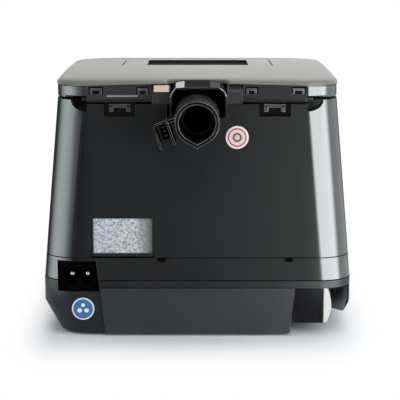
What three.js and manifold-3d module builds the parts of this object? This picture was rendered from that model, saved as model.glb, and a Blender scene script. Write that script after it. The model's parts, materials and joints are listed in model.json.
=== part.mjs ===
// Bedside CPAP machine with a built-in humidifier.
// Millimetres, +Z up. The back of the machine faces -Y and +X is to the right when it is seen from behind.
// Inside this file Y = 0 is the rear face of the casing. At the end the whole group is shifted along Y,
// so that its origin lies under the middle of its bounding box, at the height of the feet's soles.
import * as THREE from 'three';
import { mergeVertices } from 'three/addons/utils/BufferGeometryUtils.js';
import Module from 'manifold-3d';

// Values that the whole machine shares
const gap = 0.3;
const hairline = 0.03;
const overrun = 2;
const skin = 2.4;
const seamGap = 0.5;
const turnSides = 26;
const smallTurnSides = 12;
const cornerSteps = 6;
const arcSteps = 4;

// Overall size and outer form of the casing
const body = {
  width: 170,
  depth: 186,
  height: 139.7,
  rearCorner: 18,
  frontCorner: 24,
  leastCorner: 1,
  sideSlopeShare: 0.089,
  frontSlopeShare: 0.09,
};
const halfWidth = body.width / 2;

// Lower casing, with its proud centre block at the back and its open bay at the rear right corner
const base = {
  underside: 1.5,
  shoulder: 17,
  top: 30.3,
  sideTuckShare: 0.55,
  frontTuckShare: 0.25,
  blockInsetTop: 32,
  blockInsetBottom: 34.6,
  blockDrop: 4,
  blockProud: 1.8,
};
const bay = {
  inset: 31.4,
  depth: 60,
  roofDrop: 4,
  roofSkin: 1.8,
  rearEdgeInset: 6,
  rearOpening: 14,
  skirtRearLevel: 14.7,
  skirtFrontLevel: 2,
};
const bayLeft = halfWidth - bay.inset;
const bayRoof = base.top - bay.roofDrop;

// Middle band between the two seams
const middle = { height: 12.3, deck: 2.4 };
const middleBottom = base.top + seamGap;
const middleTop = middleBottom + middle.height;

// Lid: a silver cover over a dark frame that turns on two pins
const lid = {
  height: 8.7,
  lift: 1.4,
  rimDrop: 2.9,
  coverWall: 1.8,
  frameWall: 4.2,
  frameSkirt: 1.6,
  rearLip: 1.6,
  cornerRise: 1,
  cornerRelief: 5.5,
  skirtFace: 0.4,
  skirtDepth: 4.4,
};
const lidBottom = body.height - lid.height;
const lidRimTop = body.height - lid.rimDrop;
const coverUnderside = body.height - lid.coverWall;
const frameTop = coverUnderside - gap;
const frameFloor = lidBottom + lid.frameSkirt;
const casingTop = lidBottom - lid.lift;
const lidEdge = [
  { down: 2.1, inset: 0 },
  { down: 0.9, inset: 0.6 },
  { down: 0.3, inset: 1.7 },
  { down: 0, inset: 3.6 },
];

// Upper casing, with the shelf behind the lid's hinge and the ledge that carries the chamber bay
const upper = { ledgeHeight: 2.4, ledgeReach: 3, shelfHeight: 10.8, shelfDepth: 8.2, shelfInset: 15 };
const upperBottom = middleTop + seamGap;
const shelfBottom = casingTop - upper.shelfHeight;
const shelfHalfWidth = halfWidth - upper.shelfInset;

// Outlet at the back: hood, side blocks and the spigot that the swivelling port turns on
const outlet = {
  drop: 8.6,
  notchClearance: 0.2,
  notchFloorDrop: 0.4,
  blockHalfWidth: 24.3,
  blockRise: 15.6,
  blockRear: -0.6,
  blockFront: 6,
  blockChamfer: 1.4,
  hoodHalfWidth: 16,
  hoodTopHalfWidth: 12.4,
  hoodShoulderRise: 14.6,
  hoodRise: 18,
  hoodRear: -6,
  hoodFront: 13.5,
  hoodChamfer: 2.6,
  cavityHalfWidth: 15,
  cavityTopHalfWidth: 11.2,
  cavityShoulderRise: 12.2,
  cavityRise: 15.4,
  backWall: 4.6,
  spigotRadius: 9,
  spigotBore: 7.3,
  spigotRear: -13,
};
const outletLevel = casingTop - outlet.drop;
const notchFloor = outletLevel - outlet.notchFloorDrop;
const notchHalfWidth = outlet.hoodHalfWidth + outlet.notchClearance;
const hoodTop = outletLevel + outlet.hoodRise;
const hoodShoulder = outletLevel + outlet.hoodShoulderRise;
const blockTop = outletLevel + outlet.blockRise;
const outletLine = [0, outletLevel];
const sealRing = { radius: 9.2, inner: 8.4, grooveRadius: 8.2, rear: -8.4, width: 1.6 };
const sealFront = sealRing.rear + sealRing.width;
const port = {
  rear: -32,
  front: -0.9,
  radius: 11.75,
  keyTip: 13.5,
  bore: 9.4,
  boreKeyTip: 11.2,
  keyFront: -13.6,
  stepRadius: 12.9,
  stepRear: -11.5,
  collarRadius: 14.4,
  collarRear: -6.8,
};
const shroud = {
  across: -17.3,
  below: -5.8,
  width: 8.6,
  height: 13.6,
  wall: 1.2,
  front: -15,
  tilt: THREE.MathUtils.degToRad(-20),
  armTop: 4.2,
  armBottom: 0.4,
  armReach: -8,
};
const contacts = { width: 3.4, height: 7.6, front: -17, rear: -29.5 };

// Hinge of the lid, whose line lies a little above the casing's rim
const hinge = {
  rise: 0.6,
  inset: 2.8,
  knuckleRadius: 2.4,
  pinRadius: 1.2,
  pinClearance: 0.15,
  channelInset: 25.5,
  pinInset: 4.8,
  pinReach: 2.5,
  blockSweepClearance: 0.75,
  hoodSweepClearance: 1.35,
  hoodSweepSide: 1.5,
};
const hingeLevel = casingTop + hinge.rise;
const hingeLine = [hinge.inset, hingeLevel];
const channelFloor = hingeLevel - hinge.knuckleRadius - gap;
const channelHalfWidth = halfWidth - hinge.channelInset;
const skirtInnerEnd = outlet.blockHalfWidth + seamGap;
const skirtOuterEnd = channelHalfWidth - gap;
const pinInnerEnd = outlet.blockHalfWidth - hinge.pinInset;
const pinOuterEnd = channelHalfWidth + hinge.pinReach;
const blockReach = Math.hypot(outlet.blockFront - hinge.inset, blockTop - hingeLevel);
const blockSweep = blockReach + hinge.blockSweepClearance;
const hoodReach = Math.hypot(outlet.hoodFront - hinge.inset, hoodTop - hingeLevel);
const hoodSweep = hoodReach + hinge.hoodSweepClearance;

// Recesses in the rear panel, with a tab in each catch recess
const catchRecess = { inset: 9.3, width: 17, floor: 2, depth: 5 };
const catchTo = channelHalfWidth - catchRecess.inset;
const catchFrom = catchTo - catchRecess.width;
const clip = { innerInset: 2.8, outerInset: 3, drop: 2.3, height: 4.1, bar: 1.6, face: 1.6 };
const clipTop = casingTop - clip.drop;
const clipBottom = clipTop - clip.height;
const scallop = { radius: 8.4, depth: 6.5 };

// Windows in the lid's rear skirt
const lidWindow = {
  rise: 1.9,
  height: 4,
  innerInset: 0.8,
  innerWidth: 7.1,
  outerInset: 1,
  outerWidth: 7.9,
};
const windowBottom = lidBottom + lidWindow.rise;
const innerWindow = skirtInnerEnd + lidWindow.innerInset;
const outerWindow = skirtOuterEnd - lidWindow.outerInset;

// Mains inlet in the rear left corner
const inlet = {
  sideInset: 8.9,
  widthTop: 20.5,
  widthBottom: 22.3,
  drop: 5.6,
  height: 16.5,
  face: 3.4,
  depth: 20,
  cavityDepth: 13,
  centreInset: 11.6,
  pinPitch: 8.6,
  pinRise: 8.4,
  pinRadius: 1.2,
  pinLength: 10,
  cavityRadius: 4.5,
  pinRoot: 2,
};
const inletLeft = inlet.sideInset - halfWidth;
const inletCentre = inletLeft + inlet.centreInset;
const inletBottom = base.top - inlet.drop;
const inletTop = inletBottom + inlet.height;
const pinLevel = inletBottom + inlet.pinRise;

// Stick and its reader in the rear right bay
const stick = {
  sideInset: 16.7,
  width: 5.4,
  height: 18.4,
  rear: 1.4,
  length: 38,
  plugLength: 11,
  plugThickness: 2.4,
  plugHeight: 12,
};
const stickLeft = halfWidth - stick.sideInset;
const stickBottom = bayRoof - gap - stick.height;
const stickFront = stick.rear + stick.length;
const reader = { clearance: 0.4, height: 18.8, rear: 5, socketInset: 6.6, socketWidth: 6.6 };
const readerLeft = bayLeft + reader.clearance;
const readerTop = bayRoof - seamGap;

// Filter and the box in which it sits
const filter = {
  sideInset: 27.5,
  width: 34,
  rise: 0.9,
  height: 21.9,
  depth: 9,
  wall: 0.8,
  sill: 1.7,
  face: 0.3,
  foamInset: 0.5,
  foamDepth: 7,
  boxWall: 1.7,
  boxDepth: 13,
  airHoleInset: 5,
};
const filterLeft = filter.sideInset - halfWidth;
const filterRight = filterLeft + filter.width;
const filterBottom = middleTop + filter.rise;
const filterTop = filterBottom + filter.height;

// Blower on its three pads
const blower = {
  x: -20,
  y: 66,
  radius: 34,
  wall: 2,
  padHeight: 3.3,
  lowerHeight: 9,
  height: 17.2,
  intake: 11,
  snoutHalfWidth: 8,
  snoutLength: 2,
};
const blowerBottom = middleTop + blower.padHeight;
const blowerSplit = blowerBottom + blower.lowerHeight;
const blowerTop = blowerBottom + blower.height;
const snoutReach = blower.radius + blower.snoutLength;
const impeller = {
  clearance: 3,
  disc: 1.2,
  rise: 0.8,
  hubRadius: 5,
  bladeHeight: 4.8,
  bladeThickness: 1,
  bladeRoot: 4.4,
};
const impellerRadius = blower.radius - blower.wall - impeller.clearance;
const impellerBottom = blowerSplit + impeller.rise;
const impellerTop = impellerBottom + impeller.bladeHeight;
const motor = { radius: 13, height: 5, shaftRadius: 1.6, shaftClearance: 0.15, shaftRise: 3.6 };
const shaftBottom = blowerBottom + motor.shaftRise;
const shaftBore = motor.shaftRadius + motor.shaftClearance;
const bladeCount = 9;
const bladeLean = THREE.MathUtils.degToRad(28);
const mountPad = { radius: 4, inset: 8 };
const mountCount = 3;

// Heater, water chamber and the bay that holds it
const well = {
  sideInset: 28,
  rear: 22,
  frontInset: 44,
  wall: 2,
  corner: 14,
  rise: 4.4,
  floor: 2,
  deckDrop: 2.4,
  deck: 2.6,
};
const wellHalfWidth = halfWidth - well.sideInset;
const wellFront = body.depth - well.frontInset;
const wellBottom = blowerTop + well.rise;
const deckTop = casingTop - well.deckDrop;
const deckBottom = deckTop - well.deck;
const ledgeTop = deckBottom - gap;
const heater = { sideMargin: 13, endMargin: 16, thickness: 2.8, plateInset: 3, insulatorThickness: 2.4 };
const chamber = {
  floor: 2,
  wall: 1.8,
  coverDrop: 1.8,
  crownInset: 3,
  shoulderDrop: 2.8,
  rimDrop: 9,
  sealHeight: 1.6,
  plateInset: 4,
  plateThickness: 1.7,
  portRadius: 6.2,
  portBore: 4.8,
  portClearance: 0.4,
  slotClearance: 0.5,
};
const chamberBottom = wellBottom + heater.thickness + gap;
const coverTop = deckTop - chamber.coverDrop;
const coverShoulder = coverTop - chamber.shoulderDrop;
const chamberRim = coverTop - chamber.rimDrop;
const lidSeal = { outset: 4.6, width: 3 };

// Duct from the blower to the chamber
const duct = { reach: 15, wall: 2, drop: 0.4, exitHeight: 11 };
const ductRight = wellHalfWidth + duct.reach;
const ductTop = chamberRim - duct.drop;
const ductExit = ductTop - duct.exitHeight;

// Release button of the lid, with its window, and the latch under it
const lidButton = {
  sideInset: 40.5,
  frontInset: 36,
  length: 46,
  corner: 2,
  seam: 0.4,
  flange: 1.3,
  flangeThickness: 1.3,
  pocketMargin: 2,
  pocketDepth: 5.3,
  recessed: 0.1,
};
const buttonHalfWidth = halfWidth - lidButton.sideInset;
const buttonFront = body.depth - lidButton.frontInset;
const buttonRear = buttonFront - lidButton.length;
const buttonWindow = { sideInset: 14, rearInset: 4.5, frontInset: 4, corner: 1.5, depth: 1.4, recessed: 0.4 };
const latch = {
  halfWidth: 9,
  inset: 15,
  depth: 3,
  reach: 12.6,
  noseDepth: 0.8,
  noseHeight: 3,
  slotClearance: 1.5,
};
const latchRear = wellFront + latch.inset;
const latchTip = casingTop - latch.reach;

// Rubber feet and the screws that hold the casing together
const foot = {
  radius: 6.5,
  height: 2,
  recess: 0.8,
  rearSideInset: 45,
  rear: 12,
  frontSideInset: 27,
  frontInset: 26,
};
const footPlaces = [
  ['foot_rear_left', foot.rearSideInset - halfWidth, foot.rear],
  ['foot_rear_right', halfWidth - foot.rearSideInset, foot.rear],
  ['foot_front_left', foot.frontSideInset - halfWidth, body.depth - foot.frontInset],
  ['foot_front_right', halfWidth - foot.frontSideInset, body.depth - foot.frontInset],
];
const screw = {
  headRadius: 3,
  headHeight: 1.8,
  headLevel: 3.4,
  shankRadius: 1.4,
  tipDrop: 5.1,
  pillarRadius: 4.6,
  rearLeftInset: 27,
  rearRightInset: 45,
  rear: 36,
  frontSideInset: 19,
  frontInset: 46,
};
const screwTip = middleTop - screw.tipDrop;
const screwPlaces = [
  ['case_screw_rear_left', screw.rearLeftInset - halfWidth, screw.rear],
  ['case_screw_rear_right', halfWidth - screw.rearRightInset, screw.rear],
  ['case_screw_front_left', screw.frontSideInset - halfWidth, body.depth - screw.frontInset],
  ['case_screw_front_right', halfWidth - screw.frontSideInset, body.depth - screw.frontInset],
];

// Power supply on its board
const powerBoard = {
  leftInset: 25,
  rightInset: 47,
  frontInset: 26,
  length: 86,
  level: 9,
  thickness: 1.6,
  standoffRadius: 3,
};
const boardLeft = powerBoard.leftInset - halfWidth;
const boardRight = halfWidth - powerBoard.rightInset;
const boardFront = body.depth - powerBoard.frontInset;
const boardRear = boardFront - powerBoard.length;
const boardTop = powerBoard.level + gap + powerBoard.thickness;
const boardMiddle = (boardRear + boardFront) / 2;
const transformer = { inset: 24, width: 32, depth: 28, height: 15 };
const capacitor = { inset: 14, radius: 8, height: 14 };

// Front panel, measured in the plane of the sloping front face: up is along that face, out is away from it
const faceTilt = Math.atan(body.frontSlopeShare);
const faceHeight = (casingTop - base.top) / Math.cos(faceTilt);
const fascia = { sideInset: 35, bottom: 18, topInset: 7.7, corner: 6, recess: 1.2, proud: 1 };
const fasciaHalfWidth = halfWidth - fascia.sideInset;
const fasciaTop = faceHeight - fascia.topInset;
const fasciaHeight = fasciaTop - fascia.bottom;
const display = {
  leftInset: 7,
  bottomShare: 0.31,
  topShare: 0.23,
  dialRoom: 9,
  corner: 2,
  moduleInset: 1.5,
  moduleBack: -5.6,
  moduleFront: -1.5,
};
const dial = {
  inset: 23,
  radius: 15,
  back: 1.3,
  front: 9,
  pocketRadius: 8.8,
  pocketFloor: 4.2,
  sleeveRadius: 5,
  sleeveBore: 3.4,
  sleeveEnd: -5.4,
};
const dialX = fasciaHalfWidth - dial.inset;
const displayLeft = display.leftInset - fasciaHalfWidth;
const displayRight = dialX - dial.radius - display.dialRoom;
const displayBottom = fascia.bottom + fasciaHeight * display.bottomShare;
const displayTop = fasciaTop - fasciaHeight * display.topShare;
const dialUp = (displayBottom + displayTop) / 2;
const dialPlace = [dialX, dialUp];
const dialButton = { radius: 8.4, back: 5.5, front: 9.4, stemRadius: 3, stemEnd: 2.4 };
const key = {
  width: 14,
  height: 7,
  inset: 16,
  pitch: 26,
  rise: 10,
  front: 1.9,
  flange: 1,
  flangeBack: -2.3,
  flangeFront: -1.2,
};
const keyLevel = fascia.bottom + key.rise;
const keyPlaces = [
  ['start_button', key.inset - fasciaHalfWidth],
  ['ramp_button', key.inset + key.pitch - fasciaHalfWidth],
];
const controlBoard = { sideInset: 4, topInset: 2, back: -7.5, thickness: 1.6 };

// Round markers on the back
const marker = { thickness: 0.4 };
const outletMarker = { room: 5.3, drop: 11.4, radius: 7 };
const baseMarker = { sideInset: 22.4, level: 14.9, radius: 6.2 };

const wasm = await Module();
wasm.setup();

// Colours and finishes
function finish(color, roughness, metalness = 0, opacity = 1) {
  return new THREE.MeshStandardMaterial({ color, roughness, metalness, opacity, transparent: opacity < 1 });
}
const finishes = {
  charcoal: finish(0x2a2b2d, 0.34),
  baseGrey: finish(0x333539, 0.42),
  silver: finish(0x9c9a94, 0.32, 0.45),
  black: finish(0x141516, 0.4),
  glossBlack: finish(0x0b0c0d, 0.12),
  rubber: finish(0x1a1a1b, 0.85),
  steel: finish(0xb4b6b8, 0.3, 0.9),
  aluminium: finish(0xc3c5c7, 0.38, 0.85),
  board: finish(0x1e5a34, 0.55),
  white: finish(0xe9e8e4, 0.35),
  foam: finish(0xb9bcbf, 0.95),
  smoke: finish(0x9fb0ba, 0.1, 0, 0.35),
  copper: finish(0xc58a3c, 0.35, 0.8),
  markerRed: finish(0xd8d4d2, 0.5),
  markerBlue: finish(0x1f5f9e, 0.5),
  silicone: finish(0xc9cdd0, 0.7),
};

// A closed geometry as a solid that can be joined and cut
function solid(geometry) {
  const bare = geometry.clone();
  bare.deleteAttribute('normal');
  bare.deleteAttribute('uv');
  const merged = mergeVertices(bare);
  return new wasm.Manifold(new wasm.Mesh({
    numProp: 3,
    vertProperties: merged.attributes.position.array,
    triVerts: new Uint32Array(merged.index.array),
  }));
}

function geometryOf(shape) {
  const mesh = shape.getMesh();
  const geometry = new THREE.BufferGeometry();
  const places = new Float32Array(mesh.vertProperties);
  geometry.setAttribute('position', new THREE.BufferAttribute(places, mesh.numProp));
  geometry.setIndex(new THREE.BufferAttribute(new Uint32Array(mesh.triVerts), 1));
  geometry.computeVertexNormals();
  return geometry;
}

const joined = (...shapes) => shapes.reduce((sum, next) => sum.add(next));
const cut = (whole, ...cutters) => cutters.reduce((left, next) => left.subtract(next), whole);

// A block given by its range along each axis
function block(x, y, z) {
  const geometry = new THREE.BoxGeometry(x[1] - x[0], y[1] - y[0], z[1] - z[0]);
  geometry.translate((x[0] + x[1]) / 2, (y[0] + y[1]) / 2, (z[0] + z[1]) / 2);
  return solid(geometry);
}

// The same range on the left and on the right of the middle plane
const mirrored = (from, to) => [[from, to], [-to, -from]];

// A round bar along one axis; across holds its place on the other two axes
function bar(axis, radius, from, to, across = [0, 0], sides = turnSides) {
  const geometry = new THREE.CylinderGeometry(radius, radius, to - from, sides);
  const middlePlace = (from + to) / 2;
  if (axis === 'x') {
    geometry.rotateZ(Math.PI / 2);
    geometry.translate(middlePlace, across[0], across[1]);
  } else if (axis === 'y') {
    geometry.translate(across[0], middlePlace, across[1]);
  } else {
    geometry.rotateX(Math.PI / 2);
    geometry.translate(across[0], across[1], middlePlace);
  }
  return solid(geometry);
}

// An outline drawn on the plane across one axis and drawn out along it
function prism(axis, shape, from, to) {
  const options = { depth: to - from, bevelEnabled: false, curveSegments: arcSteps };
  const geometry = new THREE.ExtrudeGeometry(shape, options);
  const right = new THREE.Vector3(1, 0, 0);
  const away = new THREE.Vector3(0, 1, 0);
  const up = new THREE.Vector3(0, 0, 1);
  const turned = new THREE.Matrix4();
  if (axis === 'x') {
    turned.makeBasis(away, up, right);
    geometry.applyMatrix4(turned);
    geometry.translate(from, 0, 0);
  } else if (axis === 'y') {
    turned.makeBasis(right, up, away.negate());
    geometry.applyMatrix4(turned);
    geometry.translate(0, to, 0);
  } else {
    geometry.translate(0, 0, from);
  }
  return solid(geometry);
}

const polygon = (points) => new THREE.Shape(points.map(([u, v]) => new THREE.Vector2(u, v)));

// A rounded rectangle as a shape, for plates and openings
function roundedShape(left, right, bottom, top, radius) {
  const quarter = Math.PI / 2;
  const shape = new THREE.Shape();
  shape.absarc(right - radius, bottom + radius, radius, -quarter, 0, false);
  shape.absarc(right - radius, top - radius, radius, 0, quarter, false);
  shape.absarc(left + radius, top - radius, radius, quarter, Math.PI, false);
  shape.absarc(left + radius, bottom + radius, radius, Math.PI, Math.PI + quarter, false);
  return shape;
}

// A rounded rectangle as points, with its own radius at the back and at the front
function roundedOutline(half, rear, front, rearRadius, frontRadius) {
  const corners = [
    [half - rearRadius, rear + rearRadius, rearRadius, -1],
    [half - frontRadius, front - frontRadius, frontRadius, 0],
    [-half + frontRadius, front - frontRadius, frontRadius, 1],
    [-half + rearRadius, rear + rearRadius, rearRadius, 2],
  ];
  return corners.flatMap(([x, y, radius, quarter]) => Array.from({ length: cornerSteps + 1 }, (_, step) => {
    const angle = (quarter + step / cornerSteps) * Math.PI / 2;
    return [x + radius * Math.cos(angle), y + radius * Math.sin(angle)];
  }));
}

// A closed form through rounded outlines at rising levels
function loft(sections) {
  const count = sections[0].outline.length;
  const positions = sections.flatMap(({ level, outline }) => outline.flatMap(([x, y]) => [x, y, level]));
  const index = [];
  for (let section = 0; section + 1 < sections.length; section += 1) {
    for (let point = 0; point < count; point += 1) {
      const a = section * count + point;
      const b = section * count + (point + 1) % count;
      index.push(a, b, b + count, a, b + count, a + count);
    }
  }
  const last = (sections.length - 1) * count;
  for (let point = 1; point + 1 < count; point += 1) {
    index.push(0, point + 1, point, last, last + point, last + point + 1);
  }
  const geometry = new THREE.BufferGeometry();
  geometry.setAttribute('position', new THREE.Float32BufferAttribute(positions, 3));
  geometry.setIndex(index);
  return solid(geometry);
}

// Form of the casing at one level
function halfWidthAt(level) {
  if (level < base.shoulder) return halfWidth - (base.shoulder - level) * base.sideTuckShare;
  return halfWidth - Math.max(level - base.top, 0) * body.sideSlopeShare;
}
function frontAt(level) {
  if (level < base.shoulder) return body.depth - (base.shoulder - level) * base.frontTuckShare;
  return body.depth - Math.max(level - base.top, 0) * body.frontSlopeShare;
}
function outlineAt(level, inset = 0) {
  return roundedOutline(
    halfWidthAt(level) - inset,
    inset,
    frontAt(level) - inset,
    Math.max(body.rearCorner - inset, body.leastCorner),
    Math.max(body.frontCorner - inset, body.leastCorner),
  );
}
const casingPlan = (level, inset) => ({ level, outline: outlineAt(level, inset) });
const casing = (levels, inset = 0) => loft(levels.map((level) => casingPlan(level, inset)));

// The lid keeps the casing's outline at its own lower edge all the way up
const lidPlan = (level, inset) => ({ level, outline: outlineAt(lidBottom, inset) });

// A tub or ring that follows the chamber bay's rounded outline, grown or shrunk by an offset
function wellForm(offset, from, to) {
  const outline = roundedOutline(
    wellHalfWidth + offset,
    well.rear - offset,
    wellFront + offset,
    well.corner + offset,
    well.corner + offset,
  );
  return loft([{ level: from, outline }, { level: to, outline }]);
}

const machine = new THREE.Group();
function addTo(group, name, shape, material) {
  const mesh = new THREE.Mesh(shape.isBufferGeometry ? shape : geometryOf(shape), material);
  mesh.name = name;
  group.add(mesh);
  return mesh;
}

// The plane of the sloping front face
const frontPanel = new THREE.Group();
frontPanel.position.set(0, body.depth, base.top);
frontPanel.rotation.x = faceTilt;
frontPanel.updateMatrix();
machine.add(frontPanel);
const inFrontPlane = (shape) => solid(geometryOf(shape).applyMatrix4(frontPanel.matrix));

// Outline of the mains inlet, whose right side leans
function inletShape(margin) {
  return polygon([
    [inletLeft - margin, inletBottom - margin],
    [inletLeft + inlet.widthBottom + margin, inletBottom - margin],
    [inletLeft + inlet.widthTop + margin, inletTop + margin],
    [inletLeft - margin, inletTop + margin],
  ]);
}
const inletOpening = prism('y', inletShape(gap), -overrun, inlet.face + inlet.depth + gap);

function makeBase() {
  const outer = casing([base.underside, base.shoulder, base.top]);
  const hollow = casing([base.underside + skin, base.shoulder, base.top + overrun], skin);
  const centreBlock = prism('y', polygon([
    [base.blockInsetBottom - halfWidth, base.underside],
    [halfWidth - base.blockInsetBottom, base.underside],
    [halfWidth - base.blockInsetTop, base.top - base.blockDrop],
    [base.blockInsetTop - halfWidth, base.top - base.blockDrop],
  ]), -base.blockProud, skin);
  const beyond = halfWidth + overrun;
  const bayWalls = block(
    [bayLeft - skin, beyond],
    [-overrun, bay.depth + skin],
    [-overrun, bayRoof + bay.roofSkin],
  );
  const baySpace = casing([-overrun, base.shoulder, bayRoof], skin).intersect(block(
    [bayLeft, beyond],
    [-overrun, bay.depth],
    [-overrun, bayRoof],
  ));
  const bayMouth = block(
    [bayLeft, halfWidth - bay.rearEdgeInset],
    [-overrun - base.blockProud, bay.rearOpening],
    [-overrun, bayRoof],
  );
  const skirtCut = prism('x', polygon([
    [-overrun, bay.skirtRearLevel],
    [bay.depth, bay.skirtFrontLevel],
    [bay.depth, -overrun],
    [-overrun, -overrun],
  ]), bayLeft, beyond);
  const standoffs = powerBoardCorners().map(([x, y]) => bar(
    'z', powerBoard.standoffRadius, base.underside + skin / 2, powerBoard.level, [x, y], smallTurnSides,
  ));
  const pillars = screwPlaces.map(([, x, y]) => bar(
    'z', screw.pillarRadius, base.underside, base.top, [x, y], smallTurnSides,
  ));
  const headHoleTop = screw.headLevel + screw.headHeight + gap;
  const screwHoles = screwPlaces.flatMap(([, x, y]) => [
    bar('z', screw.headRadius + gap, -overrun, headHoleTop, [x, y], smallTurnSides),
    bar('z', screw.shankRadius + gap, base.underside, base.top + overrun, [x, y], smallTurnSides),
  ]);
  const footRecesses = footPlaces.map(([, x, y]) => bar(
    'z', foot.radius + gap, -overrun, base.underside + foot.recess, [x, y],
  ));
  const footBacks = footPlaces.map(([, x, y]) => bar(
    'z', foot.radius + skin, base.underside, base.underside + foot.recess + skin, [x, y],
  ).intersect(outer));
  const shell = cut(joined(outer, centreBlock), hollow.subtract(bayWalls), baySpace, bayMouth, skirtCut);
  const whole = joined(shell, ...standoffs, ...pillars, ...footBacks);
  return cut(whole, ...screwHoles, ...footRecesses, inletOpening);
}

function powerBoardCorners() {
  const inset = powerBoard.standoffRadius * 2;
  return [boardLeft + inset, boardRight - inset].flatMap((x) => (
    [boardRear + inset, boardFront - inset].map((y) => [x, y])
  ));
}

// Range of the filter's opening, with the running gap round the frame
const filterOpening = {
  x: [filterLeft - gap, filterRight + gap],
  z: [middleTop, filterTop + gap],
};

function makeMiddle() {
  const outer = casing([middleBottom, middleTop]);
  const hollow = casing([middleBottom - overrun, middleTop - middle.deck], skin);
  const bosses = screwPlaces.map(([, x, y]) => bar(
    'z', screw.pillarRadius, middleBottom, middleTop - middle.deck / 2, [x, y], smallTurnSides,
  ));
  const screwHoles = screwPlaces.map(([, x, y]) => bar(
    'z', screw.shankRadius + gap, middleBottom - overrun, screwTip + gap, [x, y], smallTurnSides,
  ));
  const box = block(
    [filterOpening.x[0] - filter.boxWall, filterOpening.x[1] + filter.boxWall],
    [skin + gap, filter.boxDepth],
    [middleTop - middle.deck / 2, filterOpening.z[1] + filter.boxWall],
  );
  const pocket = block(filterOpening.x, [-overrun, filter.depth + gap], filterOpening.z);
  const airHole = block(
    [filterLeft + filter.airHoleInset, filterRight - filter.airHoleInset],
    [0, filter.boxDepth + overrun],
    [filterBottom + filter.airHoleInset, filterTop - filter.airHoleInset],
  );
  return cut(joined(outer.subtract(hollow), ...bosses, box), ...screwHoles, pocket, airHole, inletOpening);
}

// The quarter-round finger scallops sit at the ends of the hinge channel
function scallopCutters() {
  const sides = mirrored(channelHalfWidth - gap, channelHalfWidth + scallop.radius + overrun);
  return sides.map((x) => bar(
    'y', scallop.radius, -overrun, scallop.depth, [Math.sign(x[1]) * channelHalfWidth, casingTop],
  ).intersect(block(
    x, [-overrun, scallop.depth], [casingTop - scallop.radius - overrun, casingTop + overrun],
  )));
}

// The tab that stands in a catch recess has the form of a U turned upside down
function clipShape([from, to]) {
  const outer = block([from, to], [clip.face, catchRecess.depth + clip.bar], [clipBottom, clipTop]);
  const inner = block(
    [from + clip.bar, to - clip.bar],
    [clip.face - overrun, catchRecess.depth],
    [clipBottom - overrun, clipTop - clip.bar],
  );
  return outer.subtract(inner);
}

function makeUpper() {
  const outer = casing([upperBottom, casingTop]);
  const hollow = casing([upperBottom - overrun, casingTop + overrun], skin);
  const ledgeBottom = ledgeTop - upper.ledgeHeight;
  const ledge = casing([ledgeBottom, ledgeTop], skin / 2).subtract(
    casing([ledgeBottom - overrun, ledgeTop + overrun], skin + upper.ledgeReach),
  );
  const shelf = block(
    [-shelfHalfWidth, shelfHalfWidth],
    [0, upper.shelfDepth],
    [shelfBottom, casingTop],
  ).intersect(outer);
  const channel = block(
    [-channelHalfWidth, channelHalfWidth],
    [-overrun, upper.shelfDepth + overrun],
    [channelFloor, casingTop + overrun],
  );
  const notch = block(
    [-notchHalfWidth, notchHalfWidth],
    [-overrun, upper.shelfDepth + overrun],
    [notchFloor, casingTop + overrun],
  );
  const spigotHole = bar(
    'y', outlet.spigotRadius + gap, -overrun, upper.shelfDepth + overrun, outletLine,
  );
  const recesses = mirrored(catchFrom, catchTo).map((x) => block(
    x, [-overrun, catchRecess.depth], [shelfBottom + catchRecess.floor, casingTop],
  ));
  const clips = mirrored(catchFrom + clip.innerInset, catchTo - clip.outerInset).map(clipShape);
  const pinHoles = mirrored(skirtOuterEnd - overrun, pinOuterEnd + gap).map(([from, to]) => bar(
    'x', hinge.pinRadius + hinge.pinClearance, from, to, [hinge.inset, hingeLevel], smallTurnSides,
  ));
  const filterNotch = block(
    filterOpening.x,
    [-overrun, skin + overrun],
    [upperBottom - overrun, filterOpening.z[1]],
  );
  const walls = cut(joined(outer.subtract(hollow), ledge, shelf), channel, notch, spigotHole, ...recesses);
  return cut(joined(walls, ...clips), ...scallopCutters(), ...pinHoles, filterNotch, ...frontOpenings());
}

// What the front panel needs cut from the casing behind it
function frontOpenings() {
  const recess = prism('y', roundedShape(
    -fasciaHalfWidth - gap, fasciaHalfWidth + gap, fascia.bottom - gap, fasciaTop + gap, fascia.corner,
  ), -fascia.recess, overrun);
  const displayHole = prism('y', roundedShape(
    displayLeft + gap, displayRight - gap, displayBottom + gap, displayTop - gap, display.corner,
  ), -skin - overrun, overrun);
  const sleeveHole = bar('y', dial.sleeveRadius + gap, -skin - overrun, overrun, dialPlace);
  const keyHoles = keyPlaces.map(([, x]) => prism(
    'y', keyShape(x, key.flange + gap), -skin - overrun, overrun,
  ));
  return [recess, displayHole, sleeveHole, ...keyHoles].map(inFrontPlane);
}

function keyShape(x, margin) {
  return roundedShape(
    x - key.width / 2 - margin,
    x + key.width / 2 + margin,
    keyLevel - key.height / 2 - margin,
    keyLevel + key.height / 2 + margin,
    key.height / 2 + margin - hairline,
  );
}

// A round section that runs out to a blunt point below
function keyedRound(radius, tip, from, to) {
  const angle = Math.acos(radius / tip);
  const shoulder = [radius * Math.sin(angle), outletLevel - radius * Math.cos(angle)];
  return joined(
    bar('y', radius, from, to, outletLine),
    prism('y', polygon([
      [-shoulder[0], shoulder[1]],
      [0, outletLevel - tip],
      [shoulder[0], shoulder[1]],
      outletLine,
    ]), from, to),
  );
}

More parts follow.
